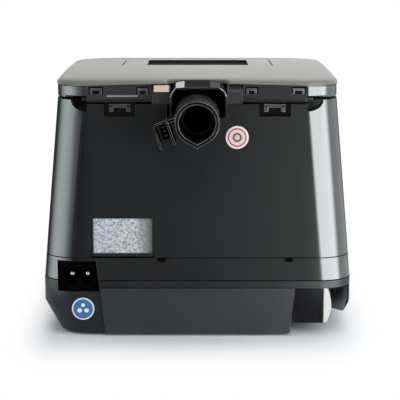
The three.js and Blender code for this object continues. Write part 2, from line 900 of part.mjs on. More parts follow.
function makeOutletHousing() {
  const hood = prism('y', polygon([
    [-outlet.hoodHalfWidth, notchFloor + gap],
    [outlet.hoodHalfWidth, notchFloor + gap],
    [outlet.hoodHalfWidth, hoodShoulder],
    [outlet.hoodTopHalfWidth, hoodTop],
    [-outlet.hoodTopHalfWidth, hoodTop],
    [-outlet.hoodHalfWidth, hoodShoulder],
  ]), outlet.hoodRear, outlet.hoodFront);
  const hoodChamfer = prism('x', polygon([
    [outlet.hoodRear - overrun, hoodTop + overrun],
    [outlet.hoodRear - overrun, hoodTop - outlet.hoodChamfer - overrun],
    [outlet.hoodRear + outlet.hoodChamfer + overrun, hoodTop + overrun],
  ]), -outlet.hoodHalfWidth - overrun, outlet.hoodHalfWidth + overrun);
  const legsCut = block(
    [-outlet.hoodHalfWidth - overrun, outlet.hoodHalfWidth + overrun],
    [outlet.hoodRear - overrun, -gap],
    [notchFloor - overrun, channelFloor + gap],
  );
  const cavity = prism('y', polygon([
    [-outlet.cavityHalfWidth, notchFloor - overrun],
    [outlet.cavityHalfWidth, notchFloor - overrun],
    [outlet.cavityHalfWidth, outletLevel + outlet.cavityShoulderRise],
    [outlet.cavityTopHalfWidth, outletLevel + outlet.cavityRise],
    [-outlet.cavityTopHalfWidth, outletLevel + outlet.cavityRise],
    [-outlet.cavityHalfWidth, outletLevel + outlet.cavityShoulderRise],
  ]), outlet.hoodRear - overrun, outlet.backWall);
  const sideBlocks = prism('x', polygon([
    [outlet.blockRear, channelFloor + gap],
    [outlet.blockFront, channelFloor + gap],
    [outlet.blockFront, blockTop],
    [outlet.blockRear + outlet.blockChamfer, blockTop],
    [outlet.blockRear, blockTop - outlet.blockChamfer],
  ]), -outlet.blockHalfWidth, outlet.blockHalfWidth);
  const spigot = bar('y', outlet.spigotRadius, outlet.spigotRear, outlet.hoodFront, outletLine);
  const groove = cut(
    bar('y', outlet.spigotRadius + overrun, sealRing.rear - gap, sealFront + gap, outletLine),
    bar('y', sealRing.grooveRadius, sealRing.rear - overrun, sealFront + overrun, outletLine),
  );
  const boreRear = outlet.spigotRear - overrun;
  const bore = bar('y', outlet.spigotBore, boreRear, outlet.hoodFront + overrun, outletLine);
  const pinHoles = bar(
    'x', hinge.pinRadius + hinge.pinClearance, -outlet.blockHalfWidth - overrun, -pinInnerEnd + gap,
    hingeLine, smallTurnSides,
  ).add(bar(
    'x', hinge.pinRadius + hinge.pinClearance, pinInnerEnd - gap, outlet.blockHalfWidth + overrun,
    hingeLine, smallTurnSides,
  ));
  const casingPart = cut(joined(hood, sideBlocks), hoodChamfer, legsCut, cavity);
  return cut(joined(casingPart, cut(spigot, groove)), bore, pinHoles);
}

function makePort() {
  const outer = joined(
    keyedRound(port.radius, port.keyTip, port.rear, port.stepRear + overrun),
    bar('y', port.stepRadius, port.stepRear, port.front, outletLine),
    bar('y', port.collarRadius, port.collarRear, port.front, outletLine),
  );
  const arm = prism('y', polygon([
    [shroud.across - shroud.width / 2, outletLevel + shroud.armBottom - shroud.wall],
    [shroud.armReach, outletLevel + shroud.armBottom + shroud.wall],
    [shroud.armReach, outletLevel + shroud.armTop],
    [shroud.across - shroud.width / 2, outletLevel + shroud.armBottom],
  ]), port.rear, shroud.front);
  const shell = shroudForm(block(
    [-shroud.width / 2, shroud.width / 2],
    [port.rear, shroud.front],
    [-shroud.height / 2, shroud.height / 2],
  ));
  const hollow = shroudForm(block(
    [-shroud.width / 2 + shroud.wall, shroud.width / 2 - shroud.wall],
    [port.rear - overrun, shroud.front - shroud.wall],
    [-shroud.height / 2 - overrun, shroud.height / 2 - shroud.wall],
  ));
  const bore = joined(
    bar('y', port.bore, port.rear - overrun, port.front + overrun, outletLine),
    keyedRound(port.bore, port.boreKeyTip, port.rear - overrun, port.keyFront),
  );
  return cut(joined(outer, arm, shell), bore, hollow);
}

// Turns a form drawn round the origin into the tilted connector shroud
function shroudForm(shape) {
  const geometry = geometryOf(shape);
  geometry.rotateY(shroud.tilt);
  geometry.translate(shroud.across, 0, outletLevel + shroud.below);
  return solid(geometry);
}

function makeContacts() {
  return shroudForm(block(
    [-contacts.width / 2, contacts.width / 2],
    [contacts.rear, contacts.front],
    [shroud.height / 2 - shroud.wall - gap - contacts.height, shroud.height / 2 - shroud.wall - gap],
  ));
}

// Everything of the lid near the hinge keeps clear of the fixed hood and side blocks as it swings
function hingeSweeps() {
  const hoodSide = outlet.hoodHalfWidth + hinge.hoodSweepSide;
  return [
    bar('x', hoodSweep, -hoodSide, hoodSide, hingeLine),
    bar('x', blockSweep, -outlet.blockHalfWidth - gap, outlet.blockHalfWidth + gap, hingeLine),
  ];
}

function makeLidCover() {
  const outer = loft([
    lidPlan(lidRimTop + gap, 0),
    ...lidEdge.map(({ down, inset }) => lidPlan(body.height - down, inset)),
  ]);
  const inner = loft([lidPlan(lidRimTop - overrun, lid.coverWall), lidPlan(coverUnderside, lid.coverWall)]);
  const rearOpening = block(
    [-channelHalfWidth, channelHalfWidth],
    [-overrun, lid.coverWall + overrun],
    [lidRimTop - overrun, body.height - lid.rearLip],
  );
  const buttonHole = prism('z', roundedShape(
    -buttonHalfWidth - lidButton.seam,
    buttonHalfWidth + lidButton.seam,
    buttonRear - lidButton.seam,
    buttonFront + lidButton.seam,
    lidButton.corner + lidButton.seam,
  ), frameTop, body.height + overrun);
  return cut(outer, inner, rearOpening, buttonHole, ...hingeSweeps());
}

function makeLidFrame() {
  const rim = loft([lidPlan(lidBottom, 0), lidPlan(lidRimTop, 0)]);
  const inset = lid.coverWall + gap;
  const slab = loft([lidPlan(lidBottom, inset), lidPlan(frameTop, inset)]);
  const hollow = loft([lidPlan(lidBottom - overrun, lid.frameWall), lidPlan(frameFloor, lid.frameWall)]);
  const cornerReliefs = mirrored(skirtOuterEnd, halfWidth).map((x) => block(
    x, [-overrun, lid.cornerRelief], [lidBottom - overrun, lidBottom + lid.cornerRise],
  ));
  const rearFace = block(
    [-halfWidth, halfWidth], [-overrun, lid.skirtFace], [lidBottom - overrun, frameTop + overrun],
  ).intersect(block(
    [-channelHalfWidth, channelHalfWidth], [-overrun, skin], [lidBottom - overrun, body.height],
  ));
  const pocket = prism('z', roundedShape(
    -buttonHalfWidth - lidButton.pocketMargin,
    buttonHalfWidth + lidButton.pocketMargin,
    buttonRear - lidButton.pocketMargin,
    buttonFront + lidButton.pocketMargin,
    lidButton.corner + lidButton.pocketMargin,
  ), body.height - lidButton.pocketDepth, body.height);
  const skirts = mirrored(skirtInnerEnd, skirtOuterEnd).flatMap((x) => [
    block(x, [lid.skirtFace, lid.skirtDepth], [hingeLevel, frameTop]),
    bar('x', hinge.knuckleRadius, x[0], x[1], hingeLine, smallTurnSides),
  ]);
  const windows = [
    ...mirrored(innerWindow, innerWindow + lidWindow.innerWidth),
    ...mirrored(outerWindow - lidWindow.outerWidth, outerWindow),
  ].map((x) => block(x, [-overrun, lid.skirtDepth / 2], [windowBottom, windowBottom + lidWindow.height]));
  const pinHole = bar(
    'x', hinge.pinRadius + hinge.pinClearance, -skirtOuterEnd - overrun, skirtOuterEnd + overrun,
    hingeLine, smallTurnSides,
  );
  const knuckleRoom = mirrored(skirtOuterEnd, pinOuterEnd + overrun).map(([from, to]) => bar(
    'x', hinge.knuckleRadius, from, to, hingeLine, smallTurnSides,
  ));
  const plate = cut(
    joined(rim, slab), hollow, ...cornerReliefs, rearFace, pocket, ...knuckleRoom, ...hingeSweeps(),
  );
  return cut(joined(plate, ...skirts), ...windows, pinHole);
}

function makeLidSeal() {
  const top = frameFloor - gap;
  const bottom = deckTop + gap;
  return wellForm(lidSeal.outset, bottom, top).subtract(
    wellForm(lidSeal.outset - lidSeal.width, bottom - overrun, top + overrun),
  );
}

function makeLatch() {
  const top = frameFloor - gap;
  const face = latchRear + latch.depth;
  const tongue = block([-latch.halfWidth, latch.halfWidth], [latchRear, face], [latchTip, top]);
  const nose = prism('x', polygon([
    [face, latchTip],
    [face + latch.noseDepth, latchTip + latch.noseHeight / 2],
    [face, latchTip + latch.noseHeight],
  ]), -latch.halfWidth, latch.halfWidth);
  return tongue.add(nose);
}

function makeLidButton() {
  const flangeTop = coverUnderside - gap;
  const panel = prism('z', roundedShape(
    -buttonHalfWidth, buttonHalfWidth, buttonRear, buttonFront, lidButton.corner,
  ), flangeTop - lidButton.flangeThickness, body.height - lidButton.recessed);
  const flange = prism('z', roundedShape(
    -buttonHalfWidth - lidButton.flange,
    buttonHalfWidth + lidButton.flange,
    buttonRear - lidButton.flange,
    buttonFront + lidButton.flange,
    lidButton.corner + lidButton.flange,
  ), flangeTop - lidButton.flangeThickness, flangeTop);
  const tray = prism('z', windowShape(0), body.height - buttonWindow.depth, body.height + overrun);
  return cut(joined(panel, flange), tray);
}

function windowShape(margin) {
  return roundedShape(
    buttonWindow.sideInset - buttonHalfWidth + margin,
    buttonHalfWidth - buttonWindow.sideInset - margin,
    buttonRear + buttonWindow.rearInset + margin,
    buttonFront - buttonWindow.frontInset - margin,
    buttonWindow.corner,
  );
}

function makeInletHousing() {
  const face = inlet.face;
  const outer = prism('y', inletShape(-gap), face, face + inlet.depth).intersect(
    casing([inletBottom - overrun, inletTop + overrun], skin / 2),
  );
  const end = face + inlet.cavityDepth;
  const cavity = joined(
    ...inletPinPlaces().map(([, x]) => bar('y', inlet.cavityRadius, -overrun, end, [x, pinLevel])),
    block(
      [inletCentre - inlet.pinPitch / 2, inletCentre + inlet.pinPitch / 2],
      [-overrun, end],
      [pinLevel - inlet.cavityRadius / 2, pinLevel + inlet.cavityRadius],
    ),
  );
  const pinHoles = inletPinPlaces().map(([, x]) => bar(
    'y', inlet.pinRadius + gap, end - overrun, end + inlet.pinRoot + gap, [x, pinLevel], smallTurnSides,
  ));
  return cut(outer, cavity, ...pinHoles);
}

const inletPinPlaces = () => [
  ['inlet_pin_left', inletCentre - inlet.pinPitch / 2],
  ['inlet_pin_right', inletCentre + inlet.pinPitch / 2],
];

function addRearConnections() {
  addTo(machine, 'power_inlet', makeInletHousing(), finishes.black);
  const pinEnd = inlet.face + inlet.cavityDepth;
  for (const [name, x] of inletPinPlaces()) {
    addTo(machine, name, bar(
      'y', inlet.pinRadius, pinEnd - inlet.pinLength, pinEnd + inlet.pinRoot, [x, pinLevel], smallTurnSides,
    ), finishes.steel);
  }
  const middleLevel = stickBottom + stick.height / 2;
  const plugX = stickLeft + stick.width / 2;
  const plugEnd = stickFront + stick.plugLength;
  const plugHalfThickness = stick.plugThickness / 2;
  const plugHalfHeight = stick.plugHeight / 2;
  const socket = block(
    [plugX - plugHalfThickness - gap, plugX + plugHalfThickness + gap],
    [stickFront, plugEnd + gap],
    [middleLevel - plugHalfHeight - gap, middleLevel + plugHalfHeight + gap],
  );
  const readerFront = bay.depth - gap;
  const readerLevels = [readerTop - reader.height, readerTop];
  const readerBody = joined(
    block([readerLeft, stickLeft - gap], [reader.rear, readerFront], readerLevels),
    block(
      [readerLeft, plugX + reader.socketWidth / 2],
      [stickFront + reader.socketInset, readerFront],
      readerLevels,
    ),
  );
  const stickRoom = block(
    [stickLeft - gap, stickLeft + stick.width + gap], [0, stickFront + gap], [0, readerTop + overrun],
  );
  addTo(machine, 'stick_reader', cut(readerBody, stickRoom, socket), finishes.black);
  const stickBody = prism('y', roundedShape(
    stickLeft, stickLeft + stick.width, stickBottom, stickBottom + stick.height, stick.width / 2 - gap / 2,
  ), stick.rear, stickFront);
  const plug = block(
    [plugX - plugHalfThickness, plugX + plugHalfThickness],
    [stickFront, plugEnd],
    [middleLevel - plugHalfHeight, middleLevel + plugHalfHeight],
  );
  addTo(machine, 'data_stick', stickBody, finishes.white);
  addTo(machine, 'stick_plug', plug, finishes.steel);
}

function addFilter() {
  const frame = cut(
    block([filterLeft, filterRight], [filter.face, filter.depth], [filterBottom, filterTop]),
    block(
      [filterLeft + filter.wall, filterRight - filter.wall],
      [-overrun, filter.depth + overrun],
      [filterBottom + filter.sill, filterTop - filter.wall],
    ),
  );
  addTo(machine, 'filter_frame', frame, finishes.black);
  const foam = block(
    [filterLeft + filter.wall, filterRight - filter.wall],
    [filter.face + filter.foamInset, filter.face + filter.foamInset + filter.foamDepth],
    [filterBottom + filter.sill, filterTop - filter.wall],
  );
  addTo(machine, 'air_filter', foam, finishes.foam);
}

function makeAirDuct() {
  const left = blower.x + snoutReach + gap;
  const y = [blower.y - blower.snoutHalfWidth, blower.y + blower.snoutHalfWidth];
  const innerY = [y[0] + duct.wall, y[1] - duct.wall];
  const exitFace = wellHalfWidth + gap;
  const outer = joined(
    block([left, ductRight], y, [blowerBottom, blowerTop]),
    block([exitFace, ductRight], y, [blowerBottom, ductTop]),
  );
  const lowerRun = block(
    [left - overrun, ductRight - duct.wall], innerY, [blowerBottom + duct.wall, blowerTop - duct.wall],
  );
  const rise = block(
    [exitFace + duct.wall, ductRight - duct.wall], innerY, [blowerBottom + duct.wall, ductTop - duct.wall],
  );
  const exit = block([exitFace - overrun, ductRight - duct.wall], innerY, [ductExit, ductTop - duct.wall]);
  return cut(outer, lowerRun, rise, exit);
}

function addBlower() {
  const place = [blower.x, blower.y];
  const inner = blower.radius - blower.wall;
  const snoutX = [blower.x, blower.x + snoutReach];
  const snoutY = [blower.y - blower.snoutHalfWidth, blower.y + blower.snoutHalfWidth];
  const channelY = [snoutY[0] + blower.wall, snoutY[1] - blower.wall];
  const channelX = [blower.x, snoutX[1] + overrun];
  const lower = cut(
    joined(
      bar('z', blower.radius, blowerBottom, blowerSplit, place),
      block(snoutX, snoutY, [blowerBottom, blowerSplit]),
    ),
    bar('z', inner, blowerBottom + blower.wall, blowerSplit + overrun, place),
    block(channelX, channelY, [blowerBottom + blower.wall, blowerSplit + overrun]),
  );
  const upperBottom = blowerSplit + gap;
  const cap = cut(
    joined(
      bar('z', blower.radius, upperBottom, blowerTop, place),
      block(snoutX, snoutY, [upperBottom, blowerTop]),
    ),
    bar('z', inner, upperBottom - overrun, blowerTop - blower.wall, place),
    block(channelX, channelY, [upperBottom - overrun, blowerTop - blower.wall]),
    bar('z', blower.intake, blowerBottom, blowerTop + overrun, place),
  );
  addTo(machine, 'blower_housing_lower', lower, finishes.black);
  addTo(machine, 'blower_housing_upper', cap, finishes.black);
  const motorBottom = blowerBottom + blower.wall + gap;
  const motorBody = cut(
    bar('z', motor.radius, motorBottom, motorBottom + motor.height, place),
    bar('z', shaftBore, shaftBottom - gap, blowerSplit + overrun, place),
  );
  addTo(machine, 'blower_motor', motorBody, finishes.steel);
  addTo(machine, 'motor_shaft', bar('z', motor.shaftRadius, shaftBottom, impellerTop, place), finishes.steel);
  addTo(machine, 'impeller', makeImpeller(place), finishes.white);
  const padRing = blower.radius - mountPad.inset;
  for (let count = 0; count < mountCount; count += 1) {
    const angle = (count / mountCount) * 2 * Math.PI + Math.PI / mountCount;
    const at = [blower.x + padRing * Math.cos(angle), blower.y + padRing * Math.sin(angle)];
    const pad = bar('z', mountPad.radius, middleTop, blowerBottom, at, smallTurnSides);
    addTo(machine, `blower_mount_${count + 1}`, pad, finishes.rubber);
  }
  addTo(machine, 'air_duct', makeAirDuct(), finishes.black);
}

function makeImpeller(place) {
  const discTop = impellerBottom + impeller.disc;
  const blades = Array.from({ length: bladeCount }, (_, count) => {
    const blade = new THREE.BoxGeometry(
      impellerRadius - impeller.bladeRoot, impeller.bladeThickness, impellerTop - impellerBottom,
    );
    blade.translate((impellerRadius - impeller.bladeRoot) / 2, 0, (impellerTop + impellerBottom) / 2);
    blade.rotateZ(bladeLean);
    blade.translate(impeller.bladeRoot, 0, 0);
    blade.rotateZ((count / bladeCount) * 2 * Math.PI);
    blade.translate(place[0], place[1], 0);
    return solid(blade);
  });
  const outside = bar('z', impellerRadius, impellerBottom, impellerTop, place);
  return cut(
    joined(
      bar('z', impellerRadius, impellerBottom, discTop, place),
      bar('z', impeller.hubRadius, impellerBottom, impellerTop, place),
      ...blades,
    ).intersect(outside),
    bar('z', shaftBore, impellerBottom - overrun, impellerTop + overrun, place),
  );
}

// The slot through which the chamber's outlet is lifted out
function portSlot() {
  const half = chamber.portRadius + chamber.slotClearance;
  const inside = well.rear + well.wall + gap + chamber.wall + overrun;
  return joined(
    bar('y', half, 0, inside, outletLine),
    block([-half, half], [0, inside], [outletLevel, deckTop + overrun]),
  );
}

function makeChamberBay() {
  const rim = casing([deckBottom, deckTop], skin + gap);
  const outer = wellForm(0, wellBottom, deckTop);
  const inner = wellForm(-well.wall, wellBottom + well.floor, deckTop + overrun);
  const heaterHole = heaterOval(
    heater.plateInset - gap, wellBottom - overrun, wellBottom + well.floor + overrun,
  );
  const shelfNotch = block(
    [-shelfHalfWidth - gap, shelfHalfWidth + gap],
    [0, upper.shelfDepth + gap],
    [deckBottom - overrun, deckTop + overrun],
  );
  const housingNotch = block(
    [-outlet.hoodHalfWidth - gap, outlet.hoodHalfWidth + gap],
    [0, outlet.hoodFront + gap],
    [deckBottom - overrun, deckTop + overrun],
  );
  const latchSlot = block(
    [-latch.halfWidth - latch.slotClearance, latch.halfWidth + latch.slotClearance],
    [latchRear - latch.slotClearance, latchRear + latch.depth + latch.noseDepth + latch.slotClearance],
    [deckBottom - overrun, deckTop + overrun],
  );
  return cut(
    joined(rim, outer), inner, heaterHole, shelfNotch, housingNotch, latchSlot, portSlot(), airInlet(),
  );
}

// The heater and the plates over it are round, or oval in a longer bay
function heaterOval(inset, from, to) {
  const geometry = new THREE.CylinderGeometry(1, 1, to - from, turnSides);
  geometry.rotateX(Math.PI / 2);
  geometry.scale(
    wellHalfWidth - heater.sideMargin - inset,
    (wellFront - well.rear) / 2 - heater.endMargin - inset,
    1,
  );
  geometry.translate(0, (well.rear + wellFront) / 2, (from + to) / 2);
  return solid(geometry);
}

// The air inlet goes through the bay and the tub at the end of the duct
function airInlet() {
  const half = blower.snoutHalfWidth - duct.wall;
  return block(
    [wellHalfWidth - well.wall - gap - chamber.wall - overrun, wellHalfWidth + overrun],
    [blower.y - half, blower.y + half],
    [ductExit, ductTop - duct.wall],
  );
}

function addHumidifier() {
  addTo(machine, 'chamber_bay', makeChamberBay(), finishes.charcoal);
  const insulatorTop = wellBottom - gap;
  addTo(machine, 'heater_insulator', heaterOval(
    0, insulatorTop - heater.insulatorThickness, insulatorTop,
  ), finishes.silicone);
  addTo(machine, 'heater_plate', heaterOval(
    heater.plateInset, wellBottom, wellBottom + heater.thickness,
  ), finishes.aluminium);
  const fit = -well.wall - gap;
  const tub = cut(
    wellForm(fit, chamberBottom, chamberRim),
    wellForm(fit - chamber.wall, chamberBottom + chamber.floor, chamberRim + overrun),
    heaterOval(chamber.plateInset - gap, chamberBottom - overrun, chamberBottom + chamber.floor + overrun),
    airInlet(),
    portSlot(),
  );
  addTo(machine, 'water_chamber_tub', tub, finishes.smoke);
  addTo(machine, 'chamber_base_plate', heaterOval(
    chamber.plateInset, chamberBottom, chamberBottom + chamber.plateThickness,
  ), finishes.steel);
  const sealBottom = chamberRim + gap;
  const sealTop = sealBottom + chamber.sealHeight;
  const seal = cut(
    wellForm(fit, sealBottom, sealTop),
    wellForm(fit - chamber.wall, sealBottom - overrun, sealTop + overrun),
    portSlot(),
  );
  addTo(machine, 'chamber_seal', seal, finishes.silicone);
  addTo(machine, 'chamber_cover', makeChamberCover(fit, sealTop + gap), finishes.smoke);
}

function makeChamberCover(fit, bottom) {
  const plan = (offset) => roundedOutline(
    wellHalfWidth + offset,
    well.rear - offset,
    wellFront + offset,
    well.corner + offset,
    well.corner + offset,
  );
  const crown = fit - chamber.crownInset;
  const outer = loft([
    { level: bottom, outline: plan(fit) },
    { level: coverShoulder, outline: plan(fit) },
    { level: coverTop, outline: plan(crown) },
  ]);
  const wall = chamber.wall;
  const inner = loft([
    { level: bottom - overrun, outline: plan(fit - wall) },
    { level: coverShoulder - wall / 2, outline: plan(fit - wall) },
    { level: coverTop - wall, outline: plan(crown - wall) },
  ]);
  const shell = outer.subtract(inner);
  const portRear = outlet.hoodFront + chamber.portClearance;
  const portEnd = well.rear + well.corner;
  const tube = bar('y', chamber.portRadius, portRear, portEnd, outletLine);
  const bore = bar('y', chamber.portBore, portRear - overrun, portEnd + overrun, outletLine);
  return joined(shell, tube).subtract(bore);
}

function addElectronics() {
  const transformerX = boardLeft + transformer.inset;
  addTo(machine, 'power_board', block(
    [boardLeft, boardRight],
    [boardRear, boardFront],
    [powerBoard.level + gap, boardTop],
  ), finishes.board);
  addTo(machine, 'power_transformer', block(
    [transformerX - transformer.width / 2, transformerX + transformer.width / 2],
    [boardMiddle - transformer.depth / 2, boardMiddle + transformer.depth / 2],
    [boardTop, boardTop + transformer.height],
  ), finishes.copper);
  addTo(machine, 'bulk_capacitor', bar(
    'z',
    capacitor.radius,
    boardTop,
    boardTop + capacitor.height,
    [boardRight - capacitor.inset, boardMiddle],
    smallTurnSides,
  ), finishes.black);
}

function addFrontPanel() {
  const back = -fascia.recess + gap;
  const plate = prism('y', roundedShape(
    -fasciaHalfWidth, fasciaHalfWidth, fascia.bottom, fasciaTop, fascia.corner,
  ), back, fascia.proud);
  const window = roundedShape(displayLeft, displayRight, displayBottom, displayTop, display.corner);
  const windowHole = prism('y', window, back - overrun, fascia.proud + overrun);
  const sleeveHole = bar('y', dial.sleeveRadius + gap, back - overrun, fascia.proud + overrun, dialPlace);
  const keyHoles = keyPlaces.map(([, x]) => prism(
    'y', keyShape(x, gap), back - overrun, fascia.proud + overrun,
  ));
  addTo(frontPanel, 'front_fascia', cut(plate, windowHole, sleeveHole, ...keyHoles), finishes.glossBlack);
  const glass = roundedShape(
    displayLeft + gap, displayRight - gap, displayBottom + gap, displayTop - gap, display.corner,
  );
  addTo(frontPanel, 'display_window', prism('y', glass, back, fascia.proud + gap), finishes.smoke);
  const inset = display.moduleInset;
  addTo(frontPanel, 'display_module', block(
    [displayLeft + inset, displayRight - inset],
    [display.moduleBack, display.moduleFront],
    [displayBottom + inset, displayTop - inset],
  ), finishes.silver);
  addTo(frontPanel, 'control_board', block(
    [controlBoard.sideInset - fasciaHalfWidth, fasciaHalfWidth - controlBoard.sideInset],
    [controlBoard.back, controlBoard.back + controlBoard.thickness],
    [fascia.bottom, fasciaTop - controlBoard.topInset],
  ), finishes.board);
  const knob = cut(
    joined(
      bar('y', dial.radius, dial.back, dial.front, dialPlace),
      bar('y', dial.sleeveRadius, dial.sleeveEnd, dial.pocketFloor, dialPlace),
    ),
    bar('y', dial.pocketRadius, dial.pocketFloor, dial.front + overrun, dialPlace),
    bar('y', dial.sleeveBore, dial.sleeveEnd - overrun, dial.front + overrun, dialPlace),
  );
  addTo(frontPanel, 'control_dial', knob, finishes.silver);
  const push = joined(
    bar('y', dialButton.radius, dialButton.back, dialButton.front, dialPlace),
    bar('y', dialButton.stemRadius, dialButton.stemEnd, dialButton.front, dialPlace),
  );
  addTo(frontPanel, 'dial_button', push, finishes.glossBlack);
  for (const [name, x] of keyPlaces) {
    const cap = prism('y', keyShape(x, 0), key.flangeBack, key.front);
    const flange = prism('y', keyShape(x, key.flange), key.flangeBack, key.flangeFront);
    addTo(frontPanel, name, joined(cap, flange), finishes.baseGrey);
  }
}

function addLid() {
  addTo(machine, 'lid_cover', makeLidCover(), finishes.silver);
  addTo(machine, 'lid_frame', makeLidFrame(), finishes.charcoal);
  addTo(machine, 'lid_seal', makeLidSeal(), finishes.rubber);
  addTo(machine, 'lid_latch', makeLatch(), finishes.black);
  addTo(machine, 'lid_button', makeLidButton(), finishes.silver);
  const windowTop = body.height - buttonWindow.recessed;
  const pane = prism('z', windowShape(gap), body.height - buttonWindow.depth, windowTop);
  addTo(machine, 'lid_button_window', pane, finishes.glossBlack);
  mirrored(pinInnerEnd, pinOuterEnd).forEach(([from, to], side) => {
    const name = side ? 'hinge_pin_left' : 'hinge_pin_right';
    addTo(machine, name, bar('x', hinge.pinRadius, from, to, hingeLine, smallTurnSides), finishes.steel);
  });
}

function addFasteners() {
  for (const [name, x, y] of footPlaces) {
    addTo(machine, name, bar('z', foot.radius, 0, foot.height, [x, y]), finishes.rubber);
  }
  for (const [name, x, y] of screwPlaces) {
    const shape = joined(
      bar('z', screw.headRadius, screw.headLevel, screw.headLevel + screw.headHeight, [x, y], smallTurnSides),
      bar('z', screw.shankRadius, screw.headLevel, screwTip, [x, y], smallTurnSides),
    );
    addTo(machine, name, shape, finishes.steel);
  }
}

function addMarkers() {
  addTo(machine, 'outlet_marker', bar(
    'y',
    outletMarker.radius,
    -marker.thickness,
    0,
    [notchHalfWidth + outletMarker.room, outletLevel - outletMarker.drop],
  ), finishes.markerRed);
  addTo(machine, 'base_marker', bar(
    'y',
    baseMarker.radius,
    -marker.thickness,
    0,
    [baseMarker.sideInset - halfWidth, baseMarker.level],
  ), finishes.markerBlue);
}

addTo(machine, 'base_shell', makeBase(), finishes.baseGrey);
addTo(machine, 'mid_chassis', makeMiddle(), finishes.charcoal);
addTo(machine, 'upper_shell', makeUpper(), finishes.charcoal);
addTo(machine, 'outlet_housing', makeOutletHousing(), finishes.black);
addTo(machine, 'outlet_seal_ring', cut(
  bar('y', sealRing.radius, sealRing.rear, sealFront, outletLine),
  bar('y', sealRing.inner, sealRing.rear - overrun, sealFront + overrun, outletLine),
), finishes.rubber);
addTo(machine, 'outlet_elbow', makePort(), finishes.black);
addTo(machine, 'elbow_contacts', makeContacts(), finishes.copper);
addRearConnections();
addFilter();
addBlower();
addHumidifier();
addElectronics();
addFrontPanel();
addLid();
addFasteners();
addMarkers();

// The origin goes under the middle of the bounding box
const bounds = new THREE.Box3().setFromObject(machine);
const part = new THREE.Group();
machine.position.y = -(bounds.min.y + bounds.max.y) / 2;
part.add(machine);

export default part;
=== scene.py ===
import json
import math
import bpy
import bmesh
from mathutils import Matrix, Vector, noise


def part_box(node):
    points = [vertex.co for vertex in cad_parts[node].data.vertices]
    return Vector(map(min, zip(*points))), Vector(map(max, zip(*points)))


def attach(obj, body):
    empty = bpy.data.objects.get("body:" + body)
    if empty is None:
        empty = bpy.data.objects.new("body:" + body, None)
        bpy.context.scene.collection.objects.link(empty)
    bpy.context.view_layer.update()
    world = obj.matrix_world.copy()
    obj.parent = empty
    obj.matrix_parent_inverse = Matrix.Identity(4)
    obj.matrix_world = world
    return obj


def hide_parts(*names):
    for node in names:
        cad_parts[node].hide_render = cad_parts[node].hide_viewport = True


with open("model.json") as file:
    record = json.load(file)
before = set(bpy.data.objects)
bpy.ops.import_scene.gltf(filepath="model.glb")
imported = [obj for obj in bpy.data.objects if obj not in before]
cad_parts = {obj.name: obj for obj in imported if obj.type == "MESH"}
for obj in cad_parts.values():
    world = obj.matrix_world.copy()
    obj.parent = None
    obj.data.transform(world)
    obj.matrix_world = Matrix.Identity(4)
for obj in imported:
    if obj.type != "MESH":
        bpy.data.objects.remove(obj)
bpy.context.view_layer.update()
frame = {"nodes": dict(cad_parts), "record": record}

# Pieces are drawn in millimetres, with Y = 0 on the rear face of the casing, and put in the frame at the end
mm = 0.001
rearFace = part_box("upper_shell")[0].y / mm
toFrame = Matrix.Scale(mm, 4) @ Matrix.Translation((0, rearFace, 0))
fromFrame = toFrame.inverted()
scene = bpy.context.scene


# Small tools for meshes and node trees

def only(items, kind):
    return [item for item in items if isinstance(item, kind)]


def linkMesh(name, bm):
    mesh = bpy.data.meshes.new(name)
    bm.to_mesh(mesh)
    bm.free()
    piece = bpy.data.objects.new(name, mesh)
    scene.collection.objects.link(piece)
    return piece


def newMaterial(name):
    material = bpy.data.materials.new(name)
    material.use_nodes = True
    tree = material.node_tree
    return material, tree, tree.nodes["Principled BSDF"]


def setInput(tree, socket, value):
    # A value is a constant or the output of another node
    if isinstance(value, bpy.types.NodeSocket):
        tree.links.new(value, socket)
    else:
        socket.default_value = value


def addNode(tree, kind, **settings):
    node = tree.nodes.new(kind)
    for name, value in settings.items():
        setattr(node, name, value)
    return node


def placeIn(tree, output="Object"):
    return addNode(tree, "ShaderNodeTexCoord").outputs[output]


def splitVector(tree, vector):
    node = addNode(tree, "ShaderNodeSeparateXYZ")
    tree.links.new(vector, node.inputs[0])
    return node.outputs


def addMath(tree, operation, *values, clamp=False):
    node = addNode(tree, "ShaderNodeMath", operation=operation, use_clamp=clamp)
    for socket, value in zip(node.inputs, values):
        setInput(tree, socket, value)
    return node.outputs[0]


def addVector(tree, operation, first, second=None):
    node = addNode(tree, "ShaderNodeVectorMath", operation=operation)
    setInput(tree, node.inputs[0], first)
    if second is not None:
        setInput(tree, node.inputs[1], second)
    return node.outputs["Value" if operation in ("LENGTH", "DOT_PRODUCT") else "Vector"]


def addNoise(tree, vector, scale, detail=2.0, roughness=0.5):
    node = addNode(tree, "ShaderNodeTexNoise")
    for label, value in (("Vector", vector), ("Scale", scale), ("Detail", detail), ("Roughness", roughness)):
        setInput(tree, node.inputs[label], value)
    return node.outputs["Fac"]


def addRange(tree, value, low, high, toLow=0.0, toHigh=1.0):
    node = addNode(tree, "ShaderNodeMapRange", clamp=True)
    tree.links.new(value, node.inputs["Value"])
    for label, number in (("From Min", low), ("From Max", high), ("To Min", toLow), ("To Max", toHigh)):
        setInput(tree, node.inputs[label], number)
    return node.outputs["Result"]


def addRamp(tree, value, steps):
    # steps: a place from 0 to 1 and a colour each
    node = addNode(tree, "ShaderNodeValToRGB")
    stops = node.color_ramp.elements
    while len(stops) < len(steps):
        stops.new(0.99)
    for stop, (place, color) in zip(stops, steps):
        stop.position = place
        stop.color = (*color, 1)
    tree.links.new(value, node.inputs["Fac"])
    return node.outputs["Color"]


def mixShaders(tree, mask, first, second, target):
    mix = addNode(tree, "ShaderNodeMixShader")
    for socket, output in zip(mix.inputs, (mask, first, second)):
        tree.links.new(output, socket)
    tree.links.new(mix.outputs[0], target)


# Camera, lights and floor

